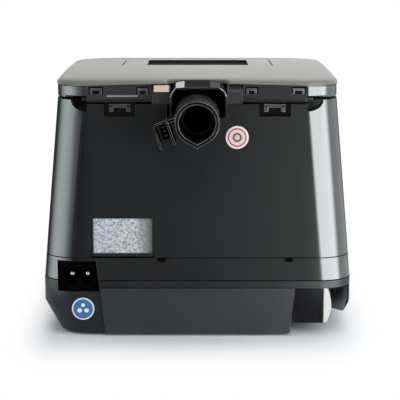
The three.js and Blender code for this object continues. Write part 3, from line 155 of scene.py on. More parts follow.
cameraView = {
    "place": (0.0015, -0.8796, 0.2165),
    "tilt": 80,
    "lens": 135,
    "sensor": 36,
    "clipStart": 0.02,
}

studio = {
    "worldLight": 0.42,
    "floorColor": (0.82, 0.85, 0.9, 1),
    "floorRoughness": 0.6,
    "floorHalf": 6.0,
    "footprint": (0.074, 0.09),
    "footprintCentre": (0, 0.0135, 0),
    "sideways": 2.6,
    "rampPerMetre": 5,
    "whiteSteps": ((0, 0), (0.012, 0), (0.022, 0.2), (0.04, 0.62), (0.06, 0.93), (0.08, 1.0)),
}

softboxes = {  # place, where it faces, width, height, watts, colour
    "leftPanel": ((-0.95, -0.85, 0.45), (0, 0, 0.07), 0.5, 0.9, 2.5, (0.95, 1.0, 0.99)),
    "rightPanel": ((0.95, -0.95, 0.25), (0, 0, 0.07), 0.5, 0.9, 6, (1.0, 1.0, 1.0)),
    "overhead": ((0.0, -0.05, 1.3), (0, 0, 0.07), 0.7, 0.5, 4, (1.0, 0.99, 0.97)),
    "frontFill": ((0.35, 1.3, 0.75), (0, 0, 0.07), 0.9, 0.9, 5, (1.0, 1.0, 1.0)),
    "nearRight": ((0.30, -0.42, 0.09), (0.03, -0.08, 0.08), 0.3, 0.3, 0.9, (1.0, 1.0, 1.0)),
}
# Curtains close round the object, seen in gloss alone: their glow follows the angle round each rear corner
curtain = {
    "corner": (0.067, -0.0616),
    "radius": 0.1,
    "reach": 0.9,
    "bottom": 0.0005,
    "height": 1.0,
    "glow": 16,
    "left": (
        (0, 0), (18, 0.15), (25, 0.9), (32, 1.5), (39, 2.9), (47, 4.3), (55, 5.0), (67, 5.4), (80, 4.9),
        (90, 3.6), (101, 2.1), (114, 0.6), (128, 0.06), (190, 0.02),
    ),
    "leftTint": (0.86, 1.0, 0.99),
    "right": (
        (0, 0), (3.8, 0), (6, 12.6), (62, 13.2), (68, 11), (75, 5), (80, 2.0), (100, 1.5), (128, 0.85),
        (140, 0.55), (150, 0.12), (190, 0.05),
    ),
    "rightTint": (0.95, 1.0, 1.0),
}


def makeCamera():
    data = bpy.data.cameras.new("photoCamera")
    data.lens = cameraView["lens"]
    data.sensor_width = cameraView["sensor"]
    data.clip_start = cameraView["clipStart"]
    camera = bpy.data.objects.new("photoCamera", data)
    camera.location = cameraView["place"]
    camera.rotation_euler = (math.radians(cameraView["tilt"]), 0, 0)
    scene.collection.objects.link(camera)
    scene.camera = camera


def makeSoftboxes():
    for name, (place, target, width, height, watts, color) in softboxes.items():
        data = bpy.data.lights.new(name, "AREA")
        data.shape = "RECTANGLE"
        data.size = width
        data.size_y = height
        data.energy = watts
        data.color = color
        lamp = bpy.data.objects.new(name, data)
        lamp.location = place
        lamp.rotation_euler = (Vector(target) - lamp.location).to_track_quat("-Z", "Y").to_euler()
        lamp.visible_camera = False
        lamp.visible_glossy = name != "nearRight"
        scene.collection.objects.link(lamp)


def makeCurtain(name, side):
    shape = curtain
    bm = bmesh.new()
    x = side * shape["corner"][0]
    y = shape["corner"][1]
    low = bm.verts.new((x, y - shape["radius"], shape["bottom"]))
    high = bm.verts.new((x, y - shape["radius"], shape["height"]))
    edge = bm.edges.new((low, high))
    spun = bmesh.ops.spin(
        bm, geom=[low, high, edge], cent=(x, y, 0), axis=(0, 0, 1), angle=side * math.pi / 2, steps=12,
    )["geom_last"]
    for shift in ((0, shape["reach"], 0), (-side * (shape["radius"] + shape["corner"][0]), 0, 0)):
        spun = bmesh.ops.extrude_edge_only(bm, edges=only(spun, bmesh.types.BMEdge))["geom"]
        bmesh.ops.translate(bm, vec=shift, verts=only(spun, bmesh.types.BMVert))
    card = linkMesh(name, bm)
    material, tree, shader = newMaterial(name)
    shader.inputs["Base Color"].default_value = (0, 0, 0, 1)
    shader.inputs["Specular IOR Level"].default_value = 0
    shader.inputs["Emission Strength"].default_value = shape["glow"]
    place = splitVector(tree, placeIn(tree))
    across = addMath(tree, "MULTIPLY_ADD", place["X"], side, -shape["corner"][0])
    toward = addMath(tree, "MULTIPLY_ADD", place["Y"], -1, y)
    turn = addMath(tree, "FLOORED_MODULO", addMath(tree, "ARCTAN2", across, toward), math.tau)
    steps = []
    for degrees, glow in shape[name]:
        steps.append((degrees / 360, [channel * glow / shape["glow"] for channel in shape[name + "Tint"]]))
    glowing = addRamp(tree, addMath(tree, "DIVIDE", turn, math.tau), steps)
    tree.links.new(glowing, shader.inputs["Emission Color"])
    card.data.materials.append(material)
    card.visible_camera = False
    card.visible_diffuse = False
    card.visible_transmission = False
    card.visible_shadow = False


def makeWorld():
    # Camera, gloss and clear pieces see a white backdrop, and the light that it gives is dimmer
    world = bpy.data.worlds.new("studioWorld")
    world.use_nodes = True
    scene.world = world
    tree = world.node_tree
    tree.nodes.clear()
    path = addNode(tree, "ShaderNodeLightPath").outputs
    seen = addMath(tree, "MAXIMUM", path["Is Camera Ray"], path["Is Glossy Ray"])
    seen = addMath(tree, "MAXIMUM", seen, path["Is Transmission Ray"])
    lighting = addNode(tree, "ShaderNodeBackground")
    lighting.inputs["Strength"].default_value = studio["worldLight"]
    backdrop = addNode(tree, "ShaderNodeBackground")
    for background in (lighting, backdrop):
        background.inputs["Color"].default_value = (1, 1, 1, 1)
    output = addNode(tree, "ShaderNodeOutputWorld")
    mixShaders(tree, seen, lighting.outputs[0], backdrop.outputs[0], output.inputs["Surface"])


def makeFloor():
    # Near the object the floor takes its shadow, and farther out the camera sees it turn white
    bm = bmesh.new()
    bmesh.ops.create_grid(bm, x_segments=1, y_segments=1, size=studio["floorHalf"])
    floor = linkMesh("floor", bm)
    material, tree, shader = newMaterial("paleFloor")
    shader.inputs["Base Color"].default_value = studio["floorColor"]
    shader.inputs["Roughness"].default_value = studio["floorRoughness"]
    away = placeIn(tree)
    for operation, value in (
        ("SUBTRACT", studio["footprintCentre"]), ("ABSOLUTE", None), ("SUBTRACT", (*studio["footprint"], 1)),
        ("MAXIMUM", (0, 0, 0)), ("MULTIPLY", (studio["sideways"], 1, 0)), ("LENGTH", None),
    ):
        away = addVector(tree, operation, away, value)
    perMetre = studio["rampPerMetre"]
    steps = [(distance * perMetre, (white,) * 3) for distance, white in studio["whiteSteps"]]
    fade = addRamp(tree, addMath(tree, "MULTIPLY", away, perMetre), steps)
    path = addNode(tree, "ShaderNodeLightPath").outputs
    seen = addMath(tree, "MULTIPLY", path["Is Camera Ray"], fade)
    white = addNode(tree, "ShaderNodeEmission").outputs[0]
    mixShaders(tree, seen, shader.outputs[0], white, tree.nodes["Material Output"].inputs["Surface"])
    floor.data.materials.append(material)


scene.view_settings.view_transform = "Standard"
makeCamera()
makeSoftboxes()
makeCurtain("left", -1)
makeCurtain("right", 1)
makeWorld()
makeFloor()
print("camera, lights and floor are set")


# Surface effects that several materials share

def newGroup(name, inputs, outputs=("Mask",)):
    # inputs: a label and a value each, a number or three for a vector
    group = bpy.data.node_groups.new(name, "ShaderNodeTree")
    for label, value in inputs:
        kind = "NodeSocketVector" if isinstance(value, tuple) else "NodeSocketFloat"
        group.interface.new_socket(label, in_out="INPUT", socket_type=kind).default_value = value
    for label in outputs:
        group.interface.new_socket(label, in_out="OUTPUT", socket_type="NodeSocketFloat")
    return group, group.nodes.new("NodeGroupInput").outputs, group.nodes.new("NodeGroupOutput").inputs


def makeEdgeWearAndGlint():
    # Edges turn paler, partly as handling wear and partly as a painted highlight along them: the rounded
    # normal leaves the flat one only along an edge
    group, inside, out = newGroup("edgeWearAndGlint", [("Radius", 0.0006), ("Amount", 0.6)])
    geometry = addNode(group, "ShaderNodeNewGeometry")
    rounded = addNode(group, "ShaderNodeBevel", samples=4)
    group.links.new(inside["Radius"], rounded.inputs["Radius"])
    turn = addVector(group, "DOT_PRODUCT", rounded.outputs["Normal"], geometry.outputs["Normal"])
    edge = addRange(group, turn, 0.995, 0.86)
    patches = addRange(group, addNoise(group, placeIn(group), 140, 3), 0.38, 0.68, 0.25)
    worn = addMath(group, "MULTIPLY", edge, patches)
    group.links.new(addMath(group, "MULTIPLY", worn, inside["Amount"], clamp=True), out["Mask"])
    return group


def makeMouldedGrain():
    # The etched grain of a mould, with the slow drift in gloss that large panels show
    group, inside, out = newGroup(
        "mouldedGrain", [("Grain Scale", 2600.0), ("Drift Scale", 26.0)], ("Height", "Drift"),
    )
    place = placeIn(group)
    group.links.new(addNoise(group, place, inside["Grain Scale"], 3, 0.6), out["Height"])
    drift = addNoise(group, place, inside["Drift Scale"], 2)
    group.links.new(addRange(group, drift, 0.3, 0.7), out["Drift"])
    return group


def makeDust():
    # A little dust settles on what faces up
    group, inside, out = newGroup("settledDust", [("Amount", 0.2)])
    normal = splitVector(group, addNode(group, "ShaderNodeNewGeometry").outputs["Normal"])
    upward = addRange(group, normal["Z"], 0.55, 1.0)
    place = placeIn(group)
    cloud = addRange(group, addNoise(group, place, 60, 4, 0.65), 0.42, 0.75)
    specks = addRange(group, addNoise(group, place, 2400, 1), 0.66, 0.74)
    both = addMath(group, "MAXIMUM", addMath(group, "MULTIPLY", cloud, 0.35), specks)
    settled = addMath(group, "MULTIPLY", upward, both)
    group.links.new(addMath(group, "MULTIPLY", settled, inside["Amount"], clamp=True), out["Mask"])
    return group


def makeBrushing():
    # Fine lines that a brush or a lathe leaves on metal, drawn out along one axis
    group, inside, out = newGroup("brushedLines", [("Stretch", (60.0, 2400.0, 2400.0))], ("Lines",))
    scaled = addVector(group, "MULTIPLY", placeIn(group), inside["Stretch"])
    group.links.new(addNoise(group, scaled, 1.0, 4, 0.6), out["Lines"])
    return group


def makeTurnedSides():
    # The rear panel is etched, and the shell is polished where it turns to the sides
    group, inside, out = newGroup("turnedSides", [("From", 0.06), ("To", 0.16)])
    sideways = addMath(group, "ABSOLUTE", splitVector(group, placeIn(group, "Normal"))["X"])
    group.links.new(addRange(group, sideways, inside["From"], inside["To"]), out["Mask"])
    return group


def makeRearFacing():
    # How far a surface turns to the back
    group, inside, out = newGroup("rearFacing", [("From", 0.05), ("To", 0.8)])
    rearward = addMath(group, "MULTIPLY", splitVector(group, placeIn(group, "Normal"))["Y"], -1)
    group.links.new(addRange(group, rearward, inside["From"], inside["To"]), out["Mask"])
    return group


def makePlaceFade():
    # A fade along an axis, in metres from the origin
    group, inside, out = newGroup("placeFade", [("Axis", (1.0, 0.0, 0.0)), ("From", 0.0), ("To", 0.01)])
    along = addVector(group, "DOT_PRODUCT", placeIn(group), inside["Axis"])
    group.links.new(addRange(group, along, inside["From"], inside["To"]), out["Mask"])
    return group


recessRoom = {"halfWidth": 0.0668, "rear": -0.0786, "front": -0.0702, "bottom": 0.1}


def makeDeepRecess():
    # Shade just inside the rear face: the catch recesses, the outlet notch, the scallops, the lid's skirt
    group, inside, out = newGroup("deepRecess", [])
    place = splitVector(group, placeIn(group))
    across = addMath(group, "ABSOLUTE", place["X"])
    mask = addMath(group, "LESS_THAN", across, recessRoom["halfWidth"])
    for operation, axis, limit in (
        ("GREATER_THAN", "Y", "rear"), ("LESS_THAN", "Y", "front"), ("GREATER_THAN", "Z", "bottom"),
    ):
        mask = addMath(group, "MULTIPLY", mask, addMath(group, operation, place[axis], recessRoom[limit]))
    group.links.new(mask, out["Mask"])
    return group


edgeWearAndGlint = makeEdgeWearAndGlint()
rearFacing = makeRearFacing()
placeFade = makePlaceFade()
deepRecess = makeDeepRecess()
turnedSides = makeTurnedSides()
mouldedGrain = makeMouldedGrain()
settledDust = makeDust()
brushedLines = makeBrushing()


def mixColor(tree, mask, first, second):
    node = addNode(tree, "ShaderNodeMix", data_type="RGBA")
    tree.links.new(mask, node.inputs["Factor"])
    for number, color in ((6, first), (7, second)):
        opaque = isinstance(color, tuple) and len(color) == 3
        setInput(tree, node.inputs[number], color + (1,) if opaque else color)
    return node.outputs[2]


def useGroup(tree, group, **values):
    node = addNode(tree, "ShaderNodeGroup", node_tree=group)
    for name, value in values.items():
        node.inputs[name].default_value = value
    return node.outputs


def useGrain(tree, grain, drift):
    return useGroup(tree, mouldedGrain, **{"Grain Scale": grain, "Drift Scale": drift})


def addBump(tree, shader, height, strength, distance):
    bump = addNode(tree, "ShaderNodeBump")
    bump.inputs["Strength"].default_value = strength
    bump.inputs["Distance"].default_value = distance
    tree.links.new(height, bump.inputs["Height"])
    tree.links.new(bump.outputs["Normal"], shader.inputs["Normal"])


dustColor = (0.45, 0.44, 0.42)


def mouldedPlastic(name, look):
    # look: the values of plasticLook, with rearShade, fades, recess and polishedSides where a piece has them
    material, tree, shader = newMaterial(name)
    grain = useGrain(tree, look["grain"], look["driftScale"])
    wear = useGroup(tree, edgeWearAndGlint, Radius=look["wearRadius"], Amount=look["wear"])["Mask"]
    dust = useGroup(tree, settledDust, Amount=look["dust"])["Mask"]
    color = mixColor(tree, grain["Drift"], look["color"], look["drift"])
    color = mixColor(tree, wear, color, look["wearColor"])
    color = mixColor(tree, dust, color, dustColor)
    # Painted shade: faces that turn to the back are mixed towards a darker tint
    if "rearShade" in look:
        low, high, tint = look["rearShade"]
        color = mixColor(tree, useGroup(tree, rearFacing, From=low, To=high)["Mask"], color, tint)
    for axis, low, high, tint in look.get("fades", ()):
        color = mixColor(tree, useGroup(tree, placeFade, Axis=axis, From=low, To=high)["Mask"], color, tint)
    if "recess" in look:
        color = mixColor(tree, useGroup(tree, deepRecess)["Mask"], color, look["recess"])
    tree.links.new(color, shader.inputs["Base Color"])
    rough = addRange(tree, grain["Drift"], 0, 1, *look["roughness"])
    rough = addMath(tree, "ADD", rough, addMath(tree, "MULTIPLY", dust, 0.4))
    rough = addMath(tree, "ADD", rough, addMath(tree, "MULTIPLY", wear, 0.12), clamp=True)
    tree.links.new(rough, shader.inputs["Roughness"])
    addBump(tree, shader, grain["Height"], look["bump"], 0.00005)
    if "polishedSides" in look:
        low, high = look["polishedSides"]
        tree.links.new(useGroup(tree, turnedSides, From=low, To=high)["Mask"], shader.inputs["Coat Weight"])
    for socket, value in look["shader"].items():
        shader.inputs[socket].default_value = value
    return material


plasticLook = {
    "color": (0.010, 0.0105, 0.0112),
    "drift": (0.014, 0.0147, 0.0155),
    "wear": 0.5,
    "wearColor": (0.11, 0.11, 0.115),
    "wearRadius": 0.0004,
    "roughness": (0.15, 0.21),
    "grain": 2600.0,
    "driftScale": 26.0,
    "bump": 0.12,
    "dust": 0.12,
    "shader": {"Specular IOR Level": 0.3},
}


def plasticWith(name, **changes):
    return mouldedPlastic(name, {**plasticLook, **changes})


def brushedMetal(name, look):
    material, tree, shader = newMaterial(name)
    lines = useGroup(tree, brushedLines, Stretch=look["stretch"])["Lines"]
    wear = useGroup(tree, edgeWearAndGlint, Radius=0.0004, Amount=0.5)["Mask"]
    color = mixColor(tree, lines, look["color"], look["drift"])
    tree.links.new(mixColor(tree, wear, color, look["wearColor"]), shader.inputs["Base Color"])
    tree.links.new(addRange(tree, lines, 0.25, 0.75, *look["roughness"]), shader.inputs["Roughness"])
    addBump(tree, shader, lines, look["bump"], 0.00004)
    shader.inputs["Metallic"].default_value = 1.0
    return material


def clearPlastic(name, look):
    material, tree, shader = newMaterial(name)
    grain = useGrain(tree, 900.0, 30.0)
    tree.links.new(addRange(tree, grain["Drift"], 0, 1, *look["roughness"]), shader.inputs["Roughness"])
    tree.links.new(mixColor(tree, grain["Drift"], look["color"], look["drift"]), shader.inputs["Base Color"])
    addBump(tree, shader, grain["Height"], 0.05, 0.0001)
    shader.inputs["Transmission Weight"].default_value = look["transmission"]
    shader.inputs["IOR"].default_value = look["ior"]
    shader.inputs["Alpha"].default_value = look["alpha"]
    return material


# Painted light: the charcoal is painted paler towards the right side, as if lit more strongly from there
paintedLightRight = ((1, 0, 0), 0.0, 0.045, (0.0225, 0.0235, 0.0235))
shellShader = {"Specular IOR Level": 0.14, "Coat Roughness": 0.05}
dullShader = {"Specular IOR Level": 0.1}
finishes = {
    "charcoal": plasticWith(
        "charcoalShell", polishedSides=(0.05, 0.12), fades=(paintedLightRight,), shader=shellShader,
    ),
    "base_grey": plasticWith(
        "texturedBase", color=(0.0205, 0.0215, 0.026), drift=(0.0255, 0.0265, 0.031), roughness=(0.34, 0.42),
        grain=1900.0, bump=0.3, wearColor=(0.12, 0.12, 0.13), shader={"Specular IOR Level": 0.25}, fades=(
            # Painted shade: the base is painted darker left of about x = -50 mm
            ((-1, 0, -0.105), 0.0500, 0.0504, (0.0085, 0.009, 0.0105)),
            ((0, 0, 1), 0.0262, 0.0265, (0.0055, 0.006, 0.0072)),
        ),
    ),
    # Painted light and shade on the silver lid: faces turned to the back and the rear edge are painted darker,
    # and the front and left are painted paler
    "silver": plasticWith(
        "silverLid", color=(0.375, 0.375, 0.36), drift=(0.405, 0.405, 0.39), roughness=(0.5, 0.56), bump=0.1,
        wearColor=(0.55, 0.54, 0.52), wear=0.3, dust=0.1, shader=dullShader,
        rearShade=(0.12, 0.75, (0.045, 0.043, 0.036)), fades=(
            ((-0.3, 1, 0), -0.05, 0.05, (0.53, 0.53, 0.52)),
            ((0, -1, 0), 0.053, 0.081, (0.17, 0.165, 0.142)),
        ),
    ),
    "black_trim": plasticWith(
        "blackTrim", color=(0.0045, 0.0045, 0.005), drift=(0.007, 0.007, 0.0075), roughness=(0.16, 0.24),
        wearColor=(0.16, 0.16, 0.165), wear=0.7, wearRadius=0.0005, shader=dullShader,
    ),
    "gloss_black": plasticWith(
        "pianoBlack", color=(0.003, 0.003, 0.0035), drift=(0.004, 0.004, 0.0045), roughness=(0.05, 0.09),
        bump=0.03, shader={"Coat Weight": 0.6, "Coat Roughness": 0.03},
    ),
    "rubber": plasticWith(
        "softRubber", color=(0.010, 0.010, 0.010), drift=(0.016, 0.016, 0.016), roughness=(0.62, 0.75),
        grain=1500.0, bump=0.5, wear=0.3,
    ),
    "silicone": plasticWith(
        "greySilicone", color=(0.42, 0.44, 0.46), drift=(0.5, 0.52, 0.54), roughness=(0.42, 0.52),
        bump=0.2, wearColor=(0.6, 0.6, 0.6), shader={"Subsurface Weight": 0.2, "Subsurface Scale": 0.002},
    ),
    "white_plastic": plasticWith(
        "whitePlastic", color=(0.76, 0.755, 0.72), drift=(0.81, 0.805, 0.78), roughness=(0.28, 0.34),
        bump=0.1, wearColor=(0.62, 0.6, 0.56), wear=0.3,
    ),
    "circuit_board": plasticWith(
        "greenBoard", color=(0.012, 0.09, 0.035), drift=(0.02, 0.14, 0.055), roughness=(0.32, 0.42),
        driftScale=420.0, wearColor=(0.3, 0.26, 0.1),
    ),
    "display_panel": plasticWith(
        "liquidCrystal", color=(0.12, 0.15, 0.15), drift=(0.17, 0.2, 0.2), roughness=(0.3, 0.36),
        wearColor=(0.2, 0.2, 0.2),
    ),
    "steel": brushedMetal("brightSteel", {
        "color": (0.5, 0.51, 0.53), "drift": (0.62, 0.63, 0.65), "wearColor": (0.8, 0.8, 0.8),
        "roughness": (0.18, 0.34), "bump": 0.15, "stretch": (60.0, 2400.0, 2400.0),
    }),
    "aluminium": brushedMetal("turnedAluminium", {
        "color": (0.6, 0.61, 0.63), "drift": (0.72, 0.73, 0.74), "wearColor": (0.85, 0.85, 0.85),
        "roughness": (0.25, 0.4), "bump": 0.25, "stretch": (2400.0, 60.0, 2400.0),
    }),
    "contact_metal": brushedMetal("copperContact", {
        "color": (0.55, 0.28, 0.1), "drift": (0.72, 0.42, 0.17), "wearColor": (0.85, 0.6, 0.35),
        "roughness": (0.2, 0.36), "bump": 0.15, "stretch": (2400.0, 90.0, 2400.0),
    }),
    "clear_plastic": clearPlastic("smokyClear", {
        "color": (0.72, 0.8, 0.85, 1), "drift": (0.8, 0.86, 0.9, 1), "roughness": (0.04, 0.1),
        "transmission": 0.9, "ior": 1.5, "alpha": 1.0,
    }),
    "display_glass": clearPlastic("smokedWindow", {
        "color": (0.05, 0.055, 0.06, 1), "drift": (0.06, 0.066, 0.07, 1), "roughness": (0.03, 0.06),
        "transmission": 0.75, "ior": 1.5, "alpha": 1.0,
    }),
    "filter_foam": plasticWith(
        "filterFibre", color=(0.19, 0.215, 0.24), drift=(0.64, 0.67, 0.71), roughness=(0.9, 0.98),
        grain=900.0, driftScale=760.0, bump=1.0, wear=0.0, dust=0.0,
        # Painted shade: the pad's right end is painted darker
        fades=(((1, 0, 0), -0.0345, -0.0255, (0.11, 0.11, 0.105)),),
    ),
    "marker_white": plasticWith("markerWhite", color=(0.75, 0.73, 0.7), drift=(0.8, 0.78, 0.76)),
}
variants = {
    # Casing: painted shade in the rear recesses and painted light towards the right side
    "shell": plasticWith(
        "charcoalCasing", polishedSides=(0.05, 0.12), recess=(0.0012, 0.0012, 0.0013), fades=(paintedLightRight,),
        shader=shellShader,
    ),
    # Painted light: a paler copy of the shell's charcoal, so that the lid's rear skirt reads brighter; its
    # recess tint is painted shade
    "lidFrame": plasticWith(
        "charcoalLidFramePaintedLight", color=(0.027, 0.0275, 0.03), drift=(0.035, 0.0355, 0.038),
        polishedSides=(0.05, 0.12), recess=(0.0015, 0.0015, 0.0016), shader=shellShader,
    ),
    # Painted highlight: the pale edge colour draws glint lines along the hood's edges
    "hood": plasticWith(
        "mattHood", color=(0.0028, 0.0028, 0.0034), drift=(0.0042, 0.0042, 0.005), roughness=(0.5, 0.6),
        wearColor=(0.34, 0.34, 0.35), wear=0.9, wearRadius=0.0005, shader={"Specular IOR Level": 0.02},
    ),
    # Painted highlight on the hood's top left chamfer
    "hoodFacetPaintedHighlight": plasticWith(
        "paintedHighlightFacet", color=(0.6, 0.6, 0.63), drift=(0.68, 0.68, 0.71), roughness=(0.4, 0.5),
        shader=dullShader,
    ),
    # Painted highlight: pale glint lines on the hood's rear edges
    "glint": plasticWith(
        "paintedGlintEdge", color=(0.7, 0.7, 0.71), drift=(0.78, 0.78, 0.79), roughness=(0.4, 0.5),
        shader=dullShader,
    ),
    # Painted highlight, dimmer, on the hood's top right chamfer
    "dimPaintedHighlightFacet": plasticWith(
        "dimPaintedHighlightFacet", color=(0.06, 0.06, 0.062), drift=(0.08, 0.08, 0.082), roughness=(0.5, 0.6),
        shader={"Specular IOR Level": 0.02},
    ),
    # Painted highlight along the ledge between the left pair of skirt windows
    "ledge": plasticWith(
        "paintedHighlightLedge", color=(0.22, 0.21, 0.195), drift=(0.26, 0.25, 0.23), roughness=(0.5, 0.6),
        shader=dullShader,
    ),
    "plain": plasticWith(
        "charcoalPlain", color=(0.0125, 0.013, 0.0137), drift=(0.016, 0.0165, 0.017),
        shader={"Specular IOR Level": 0.14},
    ),
    # Painted reflection: a peach metallic pad stands for a reflection on the left side block
    "peachPaintedReflection": plasticWith(
        "peachPaintedReflection", color=(0.56, 0.41, 0.34), drift=(0.62, 0.46, 0.38), roughness=(0.26, 0.34),
        shader={"Metallic": 1.0},
    ),
    # Painted highlight: the pale edge colour draws glint lines along the side blocks' edges
    "block": plasticWith(
        "greyBlock", color=(0.03, 0.03, 0.03), drift=(0.045, 0.045, 0.044), roughness=(0.4, 0.5),
        wearColor=(0.3, 0.3, 0.3), wear=0.9, shader=dullShader,
    ),
    # Painted highlight: the pale edge colour draws bright lines on the port's rims
    "port": plasticWith(
        "portRim", color=(0.0035, 0.0035, 0.004), drift=(0.006, 0.006, 0.0065), roughness=(0.22, 0.3),
        wearColor=(0.5, 0.5, 0.51), wear=1.0, wearRadius=0.00045, shader={"Specular IOR Level": 0.06},
    ),
    "window": plasticWith(
        "smokedLidWindow", color=(0.008, 0.011, 0.014), drift=(0.012, 0.015, 0.018), roughness=(0.3, 0.36),
        shader={"Specular IOR Level": 0.03}, dust=0.05,
    ),
    # Painted shade: a near-black stand-in for the shade in the mains inlet, the contact block and the seam
    # notches
    "recess": plasticWith(
        "paintedShadeRecess", color=(0.0012, 0.0012, 0.0013), drift=(0.002, 0.002, 0.0022), roughness=(0.4, 0.5),
        wearColor=(0.02, 0.02, 0.02), wear=0.0, dust=0.0, shader={"Specular IOR Level": 0.01},
    ),
    "stickWhite": plasticWith(
        "stickWhite", color=(0.56, 0.545, 0.52), drift=(0.61, 0.595, 0.575), roughness=(0.4, 0.5), bump=0.1,
        wearColor=(0.5, 0.48, 0.45), wear=0.3, shader={"Specular IOR Level": 0.2},
    ),
    "pin": plasticWith("blackenedPin", color=(0.012, 0.012, 0.012), drift=(0.022, 0.022, 0.022)),
    # Painted highlight: the tabs and clips are a paler charcoal with bright edge lines, for their lit tops and
    # edges
    "tab": plasticWith(
        "skirtTab", color=(0.03, 0.03, 0.031), drift=(0.045, 0.045, 0.046), roughness=(0.3, 0.4),
        wearColor=(0.55, 0.55, 0.55), wear=1.0, wearRadius=0.0005,
    ),
    # Painted shade: the copper contacts are painted dark
    "blade": plasticWith("paintedShadeContact", color=(0.03, 0.018, 0.01), drift=(0.05, 0.03, 0.016)),
    # Painted light: the bay's inner walls are painted pale and bluish
    "bayInnerPaintedLight": plasticWith(
        "bayInnerPaintedLight", color=(0.3, 0.36, 0.41), drift=(0.34, 0.4, 0.45), roughness=(0.5, 0.6),
        shader=dullShader,
    ),
    # Painted shade: the rim of the bay's outer wall is painted dark
    "bayRimPaintedShade": plasticWith(
        "bayRimPaintedShade", color=(0.008, 0.009, 0.011), drift=(0.011, 0.012, 0.014), roughness=(0.5, 0.6),
        shader=dullShader,
    ),
}
print("materials are made:", len(finishes) + len(variants))


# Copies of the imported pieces, with their edges rounded

slotOf = {row["node"]: row["material_slot"] for row in frame["record"]["subparts"]}
bodyOf = {}
for bodyName, members in frame["record"]["behaviour"]["bodies"].items():
    for member in members:
        bodyOf[member] = bodyName


def shadeByAngle(piece, degrees=32):
    piece.data.shade_smooth()
    piece.data.set_sharp_from_angle(angle=math.radians(degrees))
    weights = piece.modifiers.new("faceWeights", "WEIGHTED_NORMAL")
    weights.keep_sharp = True


standsFor = set()


def addPiece(name, bm, nodes, finish=None, sharp=32, look=None, patches=()):
    # patches: a look and a test of a face's middle and normal, for the faces that take that look
    bm.normal_update()
    for number, (patchLook, test) in enumerate(patches, 1):
        for face in bm.faces:
            if test(face.calc_center_median(), face.normal):
                face.material_index = number
    bmesh.ops.transform(bm, matrix=toFrame, verts=bm.verts)
    piece = linkMesh(name, bm)
    slot = finish or slotOf[nodes[0]]
    piece.data.materials.append(variants[look] if look else finishes[slot])
    for patchLook, test in patches:
        piece.data.materials.append(variants[patchLook])
    shadeByAngle(piece, sharp)
    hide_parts(*nodes)
    standsFor.update(nodes)
    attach(piece, bodyOf[nodes[0]])


def addExtra(name, bm, look, body):
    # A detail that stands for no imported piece
    bmesh.ops.transform(bm, matrix=toFrame, verts=bm.verts)
    piece = linkMesh(name, bm)
    piece.data.materials.append(variants[look])
    shadeByAngle(piece)
    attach(piece, body)


def boxInMm(node):
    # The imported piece's box, in the millimetres that the new pieces are drawn in
    low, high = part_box(node)
    return fromFrame @ low, fromFrame @ high


def roundOf(node):
    # Centre (x, z), radius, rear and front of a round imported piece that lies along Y
    low, high = boxInMm(node)
    return ((low.x + high.x) / 2, (low.z + high.z) / 2), (high.x - low.x) / 2, low.y, high.y


def facesOut(bm):
    bmesh.ops.recalc_face_normals(bm, faces=bm.faces)


def sharpEdges(bm, degrees):
    limit = math.radians(degrees)
    return [edge for edge in bm.edges if edge.is_manifold and abs(edge.calc_face_angle(0)) > limit]


def roundEdges(bm, width):
    bmesh.ops.remove_doubles(bm, verts=bm.verts, dist=0.02)
    bmesh.ops.dissolve_limit(bm, angle_limit=math.radians(0.6), verts=bm.verts, edges=bm.edges)
    bmesh.ops.bevel(
        bm, geom=sharpEdges(bm, 35), offset=width, segments=2, profile=0.5, affect="EDGES", material=-1,
        clamp_overlap=True, loop_slide=True,
    )


def copyOf(node):
    bm = bmesh.new()
    bm.from_mesh(frame["nodes"][node].data)
    bmesh.ops.transform(bm, matrix=fromFrame, verts=bm.verts)
    bmesh.ops.remove_doubles(bm, verts=bm.verts, dist=0.002)
    return bm


casingForm = {
    "halfWidth": 85.0, "depth": 186.0, "rearCorner": 18.0, "frontCorner": 24.0, "shoulder": 17.0, "top": 30.3,
    "sideTuck": 0.55, "frontTuck": 0.25, "sideSlope": 0.089, "frontSlope": 0.09, "lidLevel": 131.0,
    "highest": 140, "flats": 6, "cuts": 3, "wallShare": 0.6,
}


def casingSize(level):
    form = casingForm
    if level < form["shoulder"]:
        low = form["shoulder"] - level
        return form["halfWidth"] - low * form["sideTuck"], form["depth"] - low * form["frontTuck"]
    high = max(level - form["top"], 0)
    return form["halfWidth"] - high * form["sideSlope"], form["depth"] - high * form["frontSlope"]


def cutFaces(bm, near, point, normal):
    # Cuts these faces alone by a plane, and gives what they have become
    parts = {item for face in near for item in (*face.verts, *face.edges)}
    made = bmesh.ops.bisect_plane(
        bm, geom=list(parts) + near, dist=0.0005, plane_co=point, plane_no=normal,
    )["geom"]
    return only(made, bmesh.types.BMFace)


